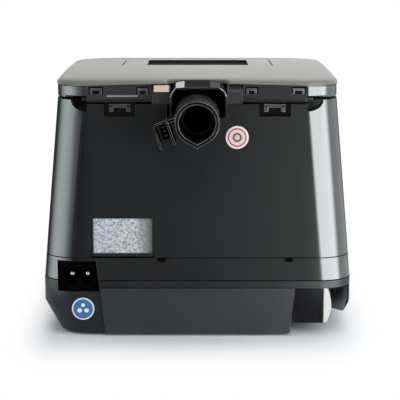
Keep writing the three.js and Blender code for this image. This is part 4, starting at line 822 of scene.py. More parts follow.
def smoothCorners(bm, fixedLevel=None):
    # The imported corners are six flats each: every flat is cut again, and the cuts are moved out to the round
    form = casingForm
    flat = math.pi / 2 / form["flats"]
    bands = ((0, form["shoulder"]), (form["shoulder"], form["top"]), (form["top"], form["highest"]))
    corners = []
    for side in (-1, 1):
        corners += [(side, -1, form["rearCorner"]), (side, 1, form["frontCorner"])]

    def centreAt(side, end, radius, level):
        half, depth = casingSize(level if fixedLevel is None else fixedLevel)
        return Vector((side * (half - radius), depth - radius if end > 0 else radius, level))

    for side, end, radius in corners:
        for low, high in bands:
            start = centreAt(side, end, radius, low)
            axis = centreAt(side, end, radius, high) - start
            near = []
            for face in bm.faces:
                middle = face.calc_center_median()
                away = middle - centreAt(side, end, radius, middle.z)
                if low <= middle.z <= high and side * away.x > -0.01 and end * away.y > -0.01:
                    near.append(face)
            for number in range(form["flats"] * form["cuts"]):
                if number % form["cuts"] == 0 or not near:
                    continue
                turn = number * flat / form["cuts"]
                outward = Vector((side * math.cos(turn), end * math.sin(turn), 0))
                near = cutFaces(bm, near, start, axis.cross(outward))
        for vert in bm.verts:
            away = vert.co - centreAt(side, end, radius, vert.co.z)
            inside = math.hypot(away.x, away.y) < radius * form["wallShare"]
            if side * away.x < 0.01 or end * away.y < 0.01 or inside:
                continue
            turn = math.atan2(abs(away.y), abs(away.x))
            middle = (math.floor(turn / flat - 0.0001) + 0.5) * flat
            grow = math.cos(turn - middle) / math.cos(flat / 2)
            vert.co.x += away.x * (grow - 1)
            vert.co.y += away.y * (grow - 1)


looks = {
    "upper_shell": "shell", "lid_frame": "lidFrame", "hinge_pin_left": "pin", "hinge_pin_right": "pin",
    "power_inlet": "recess", "filter_frame": "plain",
}
patchesOf = {
    # Painted light on the bay's inner walls and painted shade on its outer rim
    "base_shell": (
        ("bayInnerPaintedLight", lambda middle, normal: 72 < middle.x < 84.8 and 12 < middle.y < 62
            and 1 < middle.z < 26.2 and normal.x < -0.4),
        ("bayRimPaintedShade", lambda middle, normal: 78.5 < middle.x < 84.9 and middle.y < 13.9
            and 14.5 < middle.z < 26.2),
    ),
}


bayWall = {
    "roof": 26.3, "facesFrom": 77, "wallFrom": 78.9, "wallTo": 63, "skirtFrom": 76, "turnTo": 19,
    "thinner": 1.4, "turnShare": 0.47, "deeper": 1.3,
}
bayEdge = {"from": 50.9, "to": 53.9, "roof": 26.3, "front": 60, "lean": 0.11}
scallop = {"from": 59.4, "to": 68.2, "bottom": 121, "top": 129.6, "front": 6.7, "heightShare": 0.72}
readerEnd = {"below": 9, "drop": 1.5, "cornerTo": 56, "out": 1.4, "rimFrom": 67, "rimTo": 68.6, "rim": 69.4}


def leanBayEdge(bm):
    # The bay's left edge follows the slant of the centre block
    edge = bayEdge
    for vert in bm.verts:
        below = vert.co.z < edge["roof"] + 0.1 and vert.co.y < edge["front"]
        if below and edge["from"] < vert.co.x < edge["to"]:
            vert.co.x -= (edge["roof"] - vert.co.z) * edge["lean"]


def thinBayWall(bm):
    # The bay opens nearly to the side: its outer wall is thin, and ends in a narrow rim
    form = casingForm
    wall = bayWall
    near = []
    for face in bm.faces:
        middle = face.calc_center_median()
        if middle.x > wall["facesFrom"] and middle.y < wall["turnTo"]:
            near.append(face)
    for level in (wall["roof"], wall["roof"] - 0.1):
        near = cutFaces(bm, near, (0, 0, level), (0, 0, 1))
    corner = form["rearCorner"]
    for vert in bm.verts:
        if vert.co.x < wall["wallFrom"] or vert.co.z > wall["roof"] + 0.05 or vert.co.y > wall["wallTo"]:
            continue
        middle = casingSize(vert.co.z)[0] - corner
        across = vert.co.x - middle
        along = corner - vert.co.y
        radius = math.hypot(across, max(along, 0))
        inner = radius < corner - 1
        if along < 0.05:
            if inner:
                vert.co.x += wall["thinner"]
            continue
        if not inner and vert.co.z > wall["roof"] - 0.05:
            continue
        turn = math.atan2(along, across) * wall["turnShare"]
        reach = radius + wall["thinner"] if inner else radius
        vert.co.x = middle + reach * math.cos(turn)
        vert.co.y = corner - reach * math.sin(turn)
    for vert in bm.verts:
        low = form["shoulder"] - vert.co.z
        if vert.co.x > wall["skirtFrom"] and vert.co.y < wall["turnTo"] and low > 0.05:
            vert.co.z -= wall["deeper"]


def flattenScallops(bm):
    # The finger scallops are wider than they are high
    top = scallop["top"]
    for vert in bm.verts:
        across = scallop["from"] < abs(vert.co.x) < scallop["to"]
        if across and scallop["bottom"] < vert.co.z < top and vert.co.y < scallop["front"]:
            vert.co.z = top - (top - vert.co.z) * scallop["heightShare"]


def shapeReader(bm):
    # The reader's lower edge reaches lower, and its rim comes up to the stick
    end = readerEnd
    for vert in bm.verts:
        if vert.co.z < end["below"]:
            vert.co.z -= end["drop"]
            vert.co.x -= end["out"] if vert.co.x < end["cornerTo"] else 0
        if end["rimFrom"] < vert.co.x < end["rimTo"]:
            vert.co.x = end["rim"]


def softenNode(node):
    bm = copyOf(node)
    if node == "upper_shell":
        flattenScallops(bm)
    if node in ("base_shell", "mid_chassis", "upper_shell"):
        smoothCorners(bm)
    if node == "lid_frame":
        smoothCorners(bm, casingForm["lidLevel"])
    if node == "base_shell":
        thinBayWall(bm)
        leanBayEdge(bm)
    if node == "stick_reader":
        shapeReader(bm)
    roundEdges(bm, 0.3)
    if node in ("lid_frame", "lid_latch", "lid_seal"):
        droopLid(bm)
    addPiece(node + "Round", bm, [node], look=looks.get(node), patches=patchesOf.get(node, ()))


# Small tools for the new pieces, all with bmesh operators

def cornerPlate(bm, points, corners, segments=8):
    # A face on a few corners, each rounded by its own radius
    before = set(bm.faces)
    verts = [bm.verts.new(point) for point in points]
    bm.faces.new(verts)
    for vert, radius in zip(verts, corners):
        if radius:
            bmesh.ops.bevel(
                bm, geom=[vert], offset=radius, segments=segments, profile=0.5, affect="VERTICES",
                material=-1,
            )
    return [face for face in bm.faces if face not in before][0]


def raiseFace(bm, face, shift):
    made = bmesh.ops.extrude_face_region(bm, geom=[face])["geom"]
    bmesh.ops.translate(bm, vec=shift, verts=only(made, bmesh.types.BMVert))
    return only(made, bmesh.types.BMFace)[0]


def stepFace(bm, face, steps):
    # Each step draws the face in and moves it out along its normal
    for inset, rise in steps:
        bmesh.ops.inset_region(bm, faces=[face], thickness=inset, depth=rise, use_even_offset=True)


def mergeShape(bm, part, matrix=None):
    if matrix:
        bmesh.ops.transform(part, matrix=matrix, verts=part.verts)
    holder = bpy.data.meshes.new("holder")
    part.to_mesh(holder)
    part.free()
    bm.from_mesh(holder)
    bpy.data.meshes.remove(holder)


def addBox(bm, xs, ys, zs, edge=0.3, segments=2, matrix=None):
    part = bmesh.new()
    bmesh.ops.create_cube(part, size=1)
    bmesh.ops.scale(part, vec=(xs[1] - xs[0], ys[1] - ys[0], zs[1] - zs[0]), verts=part.verts)
    middle = ((xs[0] + xs[1]) / 2, (ys[0] + ys[1]) / 2, (zs[0] + zs[1]) / 2)
    bmesh.ops.translate(part, vec=middle, verts=part.verts)
    bmesh.ops.bevel(
        part, geom=part.edges[:], offset=edge, segments=segments, profile=0.5, affect="EDGES", material=-1,
        clamp_overlap=True,
    )
    mergeShape(bm, part, matrix)


onAxis = 0.0001  # the radius at which a solid profile starts and ends


def addTurned(bm, profile, centre, segments=64, closed=True, shape=None):
    # A profile of (radius, y) points spun about an axis along Y through centre (x, z)
    part = bmesh.new()
    verts = [part.verts.new((radius, y, 0)) for radius, y in profile]
    edges = [part.edges.new(pair) for pair in zip(verts, verts[1:])]
    if closed:
        edges.append(part.edges.new((verts[-1], verts[0])))
    bmesh.ops.spin(
        part, geom=verts + edges, cent=(0, 0, 0), axis=(0, 1, 0), angle=math.tau, steps=segments,
        use_merge=True,
    )
    bmesh.ops.remove_doubles(part, verts=part.verts, dist=0.0001)
    if shape:
        shape(part)
    facesOut(part)
    mergeShape(bm, part, Matrix.Translation((centre[0], 0, centre[1])))


def bevelSharp(bm, width, segments=2, degrees=35):
    bmesh.ops.bevel(
        bm, geom=sharpEdges(bm, degrees), offset=width, segments=segments, profile=0.5, affect="EDGES",
        material=-1, clamp_overlap=True,
    )


def addStaple(bm, span, ys, shape, lap, edge):
    # A bar with a leg under each end
    left, right = span
    legs = (shape["bottom"], shape["top"] - lap)
    addBox(bm, span, ys, (shape["top"] - shape["bar"], shape["top"]), edge)
    addBox(bm, (left, left + shape["leg"]), ys, legs, edge)
    addBox(bm, (right - shape["leg"], right), ys, legs, edge)


# Lid: the silver cover, its release panel and the dark window in it

lidShape = {
    "halfWidth": 76.2,
    "bulge": 1.0,
    "bulgeTo": 150,
    "rear": 0.2,
    "front": 176.9,
    "rearCorner": 18.5,
    "frontCorner": 36,
    "bottom": 137.2,
    "edgeSteps": ((0.001, 1.0), (0.25, 0.6), (0.5, 0.45), (0.9, 0.3), (1.5, 0.1)),
    "notch": ((16.9, 9.0), (15.6, 12.6), (12.4, 14.0), (7.4, 14.7)),
    "slices": (30, 60, 90, 120, 128, 136, 143, 158, 165, 171),
    "slicesAcross": (22, 60),
    "frontDroop": 1.35,
    "droopFrom": 120,
    "arch": 1.2,
    "archHalf": 66,
    "archTop": 139.3,
    "archDepth": 1.5,
    "droopBase": 131,
}
lidPanel = {
    "halfWidth": 44.5,
    "rear": 104,
    "front": 150,
    "corner": 2,
    "seam": 0.45,
    "rearSeam": 1.7,
    "bottom": 137.9,
    "top": 139.62,
    "windowHalfWidth": 30.5,
    "windowRear": 105.2,
    "windowFront": 146,
    "windowCorner": 1.6,
    "windowFloor": 138.1,
    "windowRoom": 0.03,
    "windowSunk": 0.12,
}


def droopLid(bm):
    # The lid's crown falls away towards the front
    lid = lidShape
    full = lid["front"] - lid["droopFrom"]
    for vert in bm.verts:
        along = max(0.0, vert.co.y - lid["droopFrom"]) / full
        height = (vert.co.z - lid["droopBase"]) / (lid["bottom"] - lid["droopBase"])
        height = min(1.0, max(0.0, height))
        vert.co.z -= lid["frontDroop"] * along * along * height


def openLoop(bm, face):
    # Takes a face away and gives its rim
    rim = face.edges[:]
    bmesh.ops.delete(bm, geom=[face], context="FACES_ONLY")
    return rim


def rectangleRim(bm, halfWidth, rear, front, level, corner):
    points = ((-halfWidth, rear), (halfWidth, rear), (halfWidth, front), (-halfWidth, front))
    return openLoop(bm, cornerPlate(bm, [(x, y, level) for x, y in points], (corner,) * 4, 5))


def dropRim(bm, rim, shift):
    made = bmesh.ops.extrude_edge_only(bm, edges=rim)["geom"]
    bmesh.ops.translate(bm, vec=shift, verts=only(made, bmesh.types.BMVert))
    return only(made, bmesh.types.BMEdge)


def cutPanelRoom(bm):
    # Slices let the cover bend, and four of them bound the opening for the release panel
    half = lidPanel["halfWidth"] + lidPanel["seam"]
    rear = lidPanel["rear"] - lidPanel["rearSeam"]
    front = lidPanel["front"] + lidPanel["seam"]
    near, far = lidShape["slicesAcross"]
    slices = [((0, y, 0), (0, 1, 0)) for y in lidShape["slices"] + (rear, front)]
    slices += [((x, 0, 0), (1, 0, 0)) for x in (-far, -half, -near, near, half, far)]
    for point, normal in slices:
        bmesh.ops.bisect_plane(
            bm, geom=bm.verts[:] + bm.edges[:] + bm.faces[:], plane_co=point, plane_no=normal,
        )
    inside = []
    for face in bm.faces:
        middle = face.calc_center_median()
        if abs(middle.x) < half and rear < middle.y < front:
            inside.append(face)
    bmesh.ops.delete(bm, geom=inside, context="FACES")
    bmesh.ops.bridge_loops(bm, edges=[edge for edge in bm.edges if edge.is_boundary])


def swellLid(bm):
    # The cover bulges to the sides, and its rear edge is raised in an arch
    lid = lidShape
    for vert in bm.verts:
        along = min(1.0, max(0.0, vert.co.y / lid["bulgeTo"]))
        vert.co.x *= 1 + lid["bulge"] / lid["halfWidth"] * math.sin(math.pi * along)
        lift = lid["arch"] * max(0.0, 1 - (vert.co.x / lid["archHalf"]) ** 2)
        if vert.co.y < lid["archDepth"] and vert.co.z < lid["archTop"]:
            vert.co.z += lift * (lid["archTop"] - vert.co.z) / (lid["archTop"] - lid["bottom"])


def makeLidCover():
    lid = lidShape
    bm = bmesh.new()
    half = lid["halfWidth"]
    notch = lid["notch"]
    points = [(-half, lid["rear"]), (-notch[0][0], lid["rear"])]
    points += [(-x, y) for x, y in notch]
    points += [(x, y) for x, y in reversed(notch)]
    points += [(notch[0][0], lid["rear"]), (half, lid["rear"]), (half, lid["front"]), (-half, lid["front"])]
    corners = [lid["rearCorner"], 0] + [0.6] * 8 + [0, lid["rearCorner"]] + [lid["frontCorner"]] * 2
    plate = cornerPlate(bm, [(x, y, lid["bottom"]) for x, y in points], corners, 12)
    if plate.normal.z < 0:
        plate.normal_flip()
    top = raiseFace(bm, plate, (0, 0, 0.05))
    if top.normal.z < 0:
        top.normal_flip()
    stepFace(bm, top, lid["edgeSteps"])
    cutPanelRoom(bm)
    facesOut(bm)
    swellLid(bm)
    droopLid(bm)
    addPiece("lidCover", bm, ["lid_cover"], sharp=50)


def makeLidPanel():
    panel = lidPanel
    bm = bmesh.new()
    outer = rectangleRim(
        bm, panel["halfWidth"], panel["rear"], panel["front"], panel["bottom"], panel["corner"],
    )
    top = dropRim(bm, outer, (0, 0, panel["top"] - panel["bottom"]))
    inner = rectangleRim(
        bm, panel["windowHalfWidth"], panel["windowRear"], panel["windowFront"], panel["top"],
        panel["windowCorner"],
    )
    bmesh.ops.bridge_loops(bm, edges=top + inner)
    low = dropRim(bm, inner, (0, 0, panel["windowFloor"] - panel["top"]))
    bmesh.ops.bridge_loops(bm, edges=low + outer)
    facesOut(bm)
    bevelSharp(bm, 0.18)
    droopLid(bm)
    addPiece("lidPanel", bm, ["lid_button"])
    window = bmesh.new()
    room = panel["windowRoom"]
    level = panel["top"] - panel["windowSunk"]
    rim = rectangleRim(
        window, panel["windowHalfWidth"] - room, panel["windowRear"] + room, panel["windowFront"] - room,
        level, panel["windowCorner"],
    )
    low = dropRim(window, rim, (0, 0, panel["windowFloor"] + room - level))
    bmesh.ops.contextual_create(window, geom=low)
    bmesh.ops.solidify(window, geom=window.faces[:], thickness=0.05)
    facesOut(window)
    droopLid(window)
    addPiece("lidWindow", window, ["lid_button_window"], look="window")


makeLidCover()
makeLidPanel()
print("lid cover and its panel are made")


# Outlet: the hood and its side blocks, and the swivelling port with its shroud

hoodShape = {
    "rear": -6.0,
    "crest": 8.0,
    "front": 13.4,
    "rearOutline": ((16.0, 120.9), (16.0, 132.0), (14.6, 134.9), (11.9, 137.0), (6.9, 137.3)),
    "crestOutline": ((16.0, 120.9), (16.0, 132.6), (14.9, 135.9), (12.0, 138.4), (6.9, 139.2)),
    "cavity": ((15.0, 120.9), (15.0, 131.8), (13.8, 134.2), (11.4, 135.9), (6.4, 136.2)),
    "cavityFront": 9.0,
    "leftIn": (1.5, 1.5, 1.4, 0.6, 0.1),
}
sideBlock = {
    "inner": {-1: 14.5, 1: 16.0},
    "outer": 24.3,
    "bottom": 127.9,
    "shoulder": 134.2,
    "top": 137.3,
    "rear": -0.6,
    "topRear": 2.6,
    "front": 5.8,
}
# A thin pad on the left side block, coloured as a painted peach reflection
paintedReflectionPad = {
    "left": -23.2, "right": -15.1, "bottom": 134.2, "top": 137.6, "lowRear": -1.0, "highRear": 0.65,
    "thick": 1.9,
}
spigot = {
    "centre": (0, 121), "radius": 9.0, "bore": 7.3, "rear": -13, "front": 12, "chamfer": 0.4,
    "plugRear": 11.4, "plugFront": 12.2,
}
port = {
    "centre": (0, 121),
    "keyReach": 1.15,
    "keyTo": -13.6,
    "collarLow": 11.9,
    "collarRear": -11.7,
    "crestFrom": 0.1,
    "crestOver": 0.4,
    "profile": (
        (9.4, -31.5), (9.8, -32), (11.3, -32), (11.75, -31.55), (11.75, -26.2), (11.55, -26), (11.55, -25.6),
        (11.75, -25.4), (11.75, -18.6), (11.55, -18.4), (11.55, -18.0), (11.75, -17.8), (11.75, -11.8),
        (11.95, -11.5), (12.1, -11.2), (12.1, -7.1), (12.3, -6.8), (12.5, -6.4), (12.5, -1.3), (12.1, -0.9),
        (9.4, -0.9),
    ),
}
shroud = {
    "centre": (-17.3, 115.2),
    "width": 8.6,
    "height": 13.6,
    "wall": 1.25,
    "corner": 2.6,
    "rear": -32,
    "front": -15,
    "tilt": -20,
    "armAcross": (-0.8, 5.2),
    "armDepth": (-31.2, -16.4),
    "armDown": (-2.3, -0.4),
}
contacts = {
    "block": ((-1.9, 1.9), (-17.6, -15.5), (-4.6, 4.6)),
    "bladeAcross": (-1.1, 1.1),
    "bladeDepth": (-17.9, -17.2),
    "bladeHalf": 0.5,
    "levels": (-2.4, 0, 2.4),
}


def addSideBlocks(bm):
    block = sideBlock
    profile = (
        (block["rear"], block["bottom"]), (block["front"], block["bottom"]), (block["front"], block["top"]),
        (block["topRear"], block["top"]), (block["rear"], block["shoulder"]),
    )
    for side in (-1, 1):
        inner = block["inner"][side]
        part = bmesh.new()
        face = part.faces.new([part.verts.new((side * inner, y, z)) for y, z in profile])
        raiseFace(part, face, (side * (block["outer"] - inner), 0, 0))
        facesOut(part)
        bevelSharp(part, 0.3)
        mergeShape(bm, part)


def addSpigot(bm):
    # The pipe that the port turns on, closed at its front end
    pipe = spigot
    cut = pipe["chamfer"]
    addTurned(bm, (
        (pipe["bore"], pipe["rear"] + cut), (pipe["bore"] + cut, pipe["rear"]),
        (pipe["radius"] - cut, pipe["rear"]), (pipe["radius"], pipe["rear"] + cut),
        (pipe["radius"], pipe["front"]), (pipe["bore"], pipe["front"]),
    ), pipe["centre"])
    addTurned(bm, (
        (onAxis, pipe["plugRear"]), (pipe["radius"], pipe["plugRear"]),
        (pipe["radius"], pipe["plugFront"]), (onAxis, pipe["plugFront"]),
    ), pipe["centre"], 48, False)


def makeHood():
    hood = hoodShape
    bm = bmesh.new()

    def loopAt(outline, y):
        points = [(shift - x, z) for (x, z), shift in zip(outline, hood["leftIn"])]
        points += [(x, z) for x, z in reversed(outline)]
        verts = [bm.verts.new((x, y, z)) for x, z in points]
        return [bm.edges.new(pair) for pair in zip(verts, verts[1:] + verts[:1])]

    rear = loopAt(hood["rearOutline"], hood["rear"])
    crest = loopAt(hood["crestOutline"], hood["crest"])
    front = loopAt(hood["crestOutline"], hood["front"])
    lip = loopAt(hood["cavity"], hood["rear"] + 0.2)
    deep = loopAt(hood["cavity"], hood["cavityFront"])
    for first, second in ((rear, crest), (crest, front), (rear, lip), (lip, deep)):
        bmesh.ops.bridge_loops(bm, edges=first + second)
    bmesh.ops.contextual_create(bm, geom=front)
    bmesh.ops.contextual_create(bm, geom=deep)
    facesOut(bm)
    bevelSharp(bm, 0.45, 1, 24)
    addSideBlocks(bm)
    addSpigot(bm)
    # Patches: a painted highlight on the top left chamfer, a dimmer one on the top right chamfer, painted
    # glint lines on the rear edges, and the side blocks' own grey
    addPiece("outletHood", bm, ["outlet_housing"], look="hood", patches=(
        ("block", lambda middle, normal: middle.x > 16.1 or middle.x < -14.6),
        ("hoodFacetPaintedHighlight", lambda middle, normal: -11.8 < middle.x < -7 and middle.y < 8 and normal.z > 0.5),
        ("dimPaintedHighlightFacet", lambda middle, normal: 7 < middle.x < 12.2 and middle.y < 8 and normal.z > 0.5),
        ("glint", lambda middle, normal: -14.6 < middle.x < -11.2 and middle.z > 129 and middle.y < -5
            and normal.y < -0.3 and normal.x < -0.2),
        ("glint", lambda middle, normal: 11.9 < middle.x < 16.1 and middle.z > 131.9 and middle.y < -5
            and normal.y < -0.3 and normal.x > 0.2),
    ))


def makePaintedReflectionPad():
    pad = paintedReflectionPad
    bm = bmesh.new()
    face = cornerPlate(bm, (
        (pad["left"], pad["lowRear"], pad["bottom"]), (pad["right"], pad["lowRear"], pad["bottom"]),
        (pad["right"], pad["highRear"], pad["top"]), (pad["left"], pad["highRear"], pad["top"]),
    ), (0.3,) * 4, 3)
    raiseFace(bm, face, (0, pad["thick"], 0))
    facesOut(bm)
    addPiece("paintedReflectionPad", bm, ["outlet_housing"], look="peachPaintedReflection")


def pullKey(part):
    # The port's mouth comes to a blunt point at the bottom, and its collar is a crest over the top alone
    touch = math.acos(1 / port["keyReach"])
    for vert in part.verts:
        if vert.co.y > port["keyTo"]:
            radius = math.hypot(vert.co.x, vert.co.z)
            low = port["collarLow"]
            if vert.co.y > port["collarRear"] and radius > low:
                crest = (vert.co.z / radius - port["crestFrom"]) / port["crestOver"]
                shrink = (low + (radius - low) * min(1.0, max(0.0, crest))) / radius
                vert.co.x *= shrink
                vert.co.z *= shrink
            continue
        turn = abs(math.atan2(vert.co.x, -vert.co.z))
        if turn < touch:
            grow = 1 / math.cos(touch - turn)
            vert.co.x *= grow
            vert.co.z *= grow


def shroudTurn():
    place = Matrix.Translation((shroud["centre"][0], 0, shroud["centre"][1]))
    return place @ Matrix.Rotation(math.radians(shroud["tilt"]), 4, "Y")


def addShroud(bm):
    # An arch that is open below: its outline is drawn in by the wall, and the middle and the sill go
    cover = shroud
    part = bmesh.new()
    wide = cover["width"] / 2
    tall = cover["height"] / 2
    face = cornerPlate(part, (
        (-wide, cover["rear"], -tall), (-wide, cover["rear"], tall),
        (wide, cover["rear"], tall), (wide, cover["rear"], -tall),
    ), (0, cover["corner"], cover["corner"], 0), 5)
    bmesh.ops.inset_region(
        part, faces=[face], thickness=cover["wall"], use_even_offset=True, use_boundary=True,
    )
    low = -tall + cover["wall"] + 0.01
    gone = [f for f in part.faces if f is face or all(vert.co.z < low for vert in f.verts)]
    bmesh.ops.delete(part, geom=gone, context="FACES")
    for vert in part.verts:
        if vert.co.z < low:
            vert.co.z = -tall
    made = bmesh.ops.extrude_face_region(part, geom=part.faces[:])["geom"]
    length = cover["front"] - cover["rear"]
    bmesh.ops.translate(part, vec=(0, length, 0), verts=only(made, bmesh.types.BMVert))
    facesOut(part)
    bevelSharp(part, 0.3)
    mergeShape(bm, part, shroudTurn())
    across = [wide + x for x in cover["armAcross"]]
    down = [tall + z for z in cover["armDown"]]
    addBox(bm, across, cover["armDepth"], down, matrix=shroudTurn())


def makePort():
    bm = bmesh.new()
    addTurned(bm, port["profile"], port["centre"], 96, True, pullKey)
    addShroud(bm)
    addPiece("outletPort", bm, ["outlet_elbow"], look="port")


# The contact block and blades are painted dark, as painted shade inside the shroud
def makeContacts():
    bm = bmesh.new()
    addBox(bm, *contacts["block"], matrix=shroudTurn())
    addPiece("contactBlock", bm, ["elbow_contacts"], "black_trim", look="recess")
    bm = bmesh.new()
    half = contacts["bladeHalf"]
    for level in contacts["levels"]:
        span = (level - half, level + half)
        addBox(bm, contacts["bladeAcross"], contacts["bladeDepth"], span, 0.12, matrix=shroudTurn())
    addPiece("contactBlades", bm, ["elbow_contacts"], "contact_metal", look="blade")


makeHood()
makePaintedReflectionPad()
makePort()
makeContacts()
print("outlet is made")


# Round markers, left generic

markerBands = {  # a radius in metres and the colour from there out
    "outlet": (
        (0, (0.62, 0.5, 0.49)), (0.0015, (0.02, 0.01, 0.01)), (0.0024, (0.7, 0.46, 0.44)),
        (0.0032, (0.74, 0.6, 0.58)), (0.0043, (0.24, 0.02, 0.025)), (0.0050, (0.74, 0.55, 0.53)),
        (0.0056, (0.74, 0.73, 0.71)),
    ),
    "base": ((0, (0.012, 0.12, 0.34)), (0.0054, (0.62, 0.72, 0.8))),
}
markerLook = {"soft": 0.00012, "worn": 0.08, "wornColor": (0.3, 0.28, 0.26), "roughness": (0.36, 0.46)}
markerDots = ((-1.9, -0.9, 1.25), (1.9, -0.9, 1.25), (0, 2.1, 1.05))  # across, above, radius


def discMaterial(name, node, bands):
    # Rings of colour about the marker's middle, read from the distance in Object coordinates
    material, tree, shader = newMaterial(name)
    low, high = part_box(node)
    away = addVector(tree, "SUBTRACT", placeIn(tree), tuple((low + high) / 2))
    distance = addVector(tree, "LENGTH", addVector(tree, "MULTIPLY", away, (1, 0, 1)))
    grain = useGrain(tree, 3000.0, 160.0)
    soft = markerLook["soft"]
    color = bands[0][1]
    for radius, tint in bands[1:]:
        color = mixColor(tree, addRange(tree, distance, radius - soft, radius + soft), color, tint)
    worn = addMath(tree, "MULTIPLY", grain["Drift"], markerLook["worn"])
    color = mixColor(tree, worn, color, markerLook["wornColor"])
    tree.links.new(color, shader.inputs["Base Color"])
    tree.links.new(addRange(tree, grain["Drift"], 0, 1, *markerLook["roughness"]), shader.inputs["Roughness"])
    addBump(tree, shader, grain["Height"], 0.1, 0.00003)
    return material


def makeMarker(name, node, look, trim=0.0):
    centre, radius, rear, front = roundOf(node)
    radius -= trim
    bm = bmesh.new()
    addTurned(bm, (
        (onAxis, rear), (radius - 0.12, rear), (radius, rear + 0.1), (radius, front), (onAxis, front),
    ), centre, 72, False)
    addPiece(name, bm, [node], look=look)


def makeMarkerDots():
    (x, z), _, rear, _ = roundOf("base_marker")
    bm = bmesh.new()
    for across, above, radius in markerDots:
        addTurned(bm, (
            (onAxis, rear - 0.12), (radius - 0.1, rear - 0.12), (radius, rear - 0.04), (radius, rear + 0.2),
            (onAxis, rear + 0.2),
        ), (x + across, z + above), 28, False)
    addPiece("baseMarkerDots", bm, ["base_marker"], "marker_white")


variants["ringed"] = discMaterial("ringedMarker", "outlet_marker", markerBands["outlet"])
variants["blue"] = discMaterial("blueMarker", "base_marker", markerBands["base"])
makeMarker("outletMarker", "outlet_marker", "ringed", 0.75)
makeMarker("baseMarker", "base_marker", "blue")
makeMarkerDots()
print("markers are made")


# Filter: a pad of pressed fibre that bulges a little from its frame

padShape = {
    "columns": 110, "rows": 70, "sunk": 0.35, "bulge": 0.25, "lump": 0.22, "fray": 0.15, "depth": 6.5,
    "lumpScales": (0.55, 1.7), "smallShare": 0.7, "frayScale": 4.3,
}


def makePad():
    low, high = boxInMm("air_filter")
    pad = padShape
    bm = bmesh.new()
    bmesh.ops.create_grid(bm, x_segments=pad["columns"], y_segments=pad["rows"], size=0.5)
    bmesh.ops.rotate(bm, cent=(0, 0, 0), matrix=Matrix.Rotation(math.radians(90), 3, "X"), verts=bm.verts)
    bmesh.ops.scale(bm, vec=(high.x - low.x, 1, high.z - low.z), verts=bm.verts)
    middle = ((low.x + high.x) / 2, low.y + pad["sunk"], (low.z + high.z) / 2)
    bmesh.ops.translate(bm, vec=middle, verts=bm.verts)
    rim = [edge for edge in bm.edges if edge.is_boundary]
    rimVerts = {vert for edge in rim for vert in edge.verts}
    large, small = pad["lumpScales"]
    for vert in bm.verts:
        if vert in rimVerts:
            continue
        lumps = noise.noise(vert.co * large) + pad["smallShare"] * noise.noise(vert.co * small)
        fibres = noise.noise(vert.co * pad["frayScale"])
        vert.co.y -= pad["bulge"] + pad["lump"] * lumps + pad["fray"] * fibres
    made = bmesh.ops.extrude_edge_only(bm, edges=rim)["geom"]
    bmesh.ops.translate(bm, vec=(0, pad["depth"], 0), verts=only(made, bmesh.types.BMVert))
    bmesh.ops.contextual_create(bm, geom=only(made, bmesh.types.BMEdge))
    facesOut(bm)
    addPiece("filterPad", bm, ["air_filter"], sharp=80)


makePad()
print("filter is made")


# Mains inlet: the tips of its two pins are rounded

def makeInletPins():
    for name, node in (("inletPinLeft", "inlet_pin_left"), ("inletPinRight", "inlet_pin_right")):
        centre, radius, rear, front = roundOf(node)
        bm = bmesh.new()
        addTurned(bm, (
            (onAxis, rear), (radius * 0.45, rear), (radius * 0.8, rear + 0.2), (radius, rear + 0.7),
            (radius, front), (onAxis, front),
        ), centre, 32, False)
        addPiece(name, bm, [node])


makeInletPins()
print("inlet pins are made")


# Data stick: a slim white body with a bowed outer side

stickShape = {
    "flat": 69.5, "bow": 73.7, "bottom": 6.7, "top": 26.0, "rear": 1.4, "front": 39.4,
    "topCut": (1.9, 6.4), "bottomCut": (2.4, 7.2), "corners": (0.3, 0.3, 1.0, 4.5, 4.5, 1.4),
    "gripAcross": (70.4, 72.2), "gripDepth": (1.35, 1.7), "gripHeight": (21.8, 23.4),
}


def makeStick():
    stick = stickShape
    bm = bmesh.new()
    low = stick["bottom"]
    high = stick["top"]
    flat = stick["flat"]
    bow = stick["bow"]
    topIn, topDown = stick["topCut"]
    bottomIn, bottomUp = stick["bottomCut"]
    points = (
        (flat, low), (flat, high), (bow - topIn, high), (bow, high - topDown), (bow, low + bottomUp),
        (bow - bottomIn, low),
    )
    face = cornerPlate(bm, [(x, stick["rear"], z) for x, z in points], stick["corners"])
    if face.normal.y > 0:
        face.normal_flip()
    raiseFace(bm, face, (0, stick["front"] - stick["rear"], 0))
    facesOut(bm)
    bevelSharp(bm, 0.45, 3)
    addBox(bm, stick["gripAcross"], stick["gripDepth"], stick["gripHeight"], 0.1)
    addPiece("dataStick", bm, ["data_stick"], look="stickWhite")


makeStick()
print("data stick is made")


# Trim: the lid skirt's tabs, rails and ledge, the catch clips and the seam notches

skirtTab = {
    "windows": ((-58.1, -50.4), (-32.6, -25.7), (25.7, 32.6), (50.4, 58.1)),
    "sideRoom": 0.7,
    "top": 135.9,
    "bottom": 132.7,
    "bar": 1.15,
    "leg": 1.1,
    "rear": 0.5,
    "front": 2.6,
}


def makeSkirtTabs():
    tab = skirtTab
    bm = bmesh.new()
    for left, right in tab["windows"]:
        span = (left + tab["sideRoom"], right - tab["sideRoom"])
        addStaple(bm, span, (tab["rear"], tab["front"]), tab, 0.2, 0.3)
    addExtra("skirtTabs", bm, "tab", "lid")


skirtRail = {
    "spans": ((-59.0, -25.4), (25.4, 59.0)), "rear": 0.39, "front": 2.4, "bottom": 128.2, "top": 131.7,
    "edge": 1.0, "ledge": (-48.4, -31.8), "ledgeRear": 0.2, "ledgeFront": 0.7, "ledgeBottom": 131.3,
    "ledgeTop": 132.4,
}


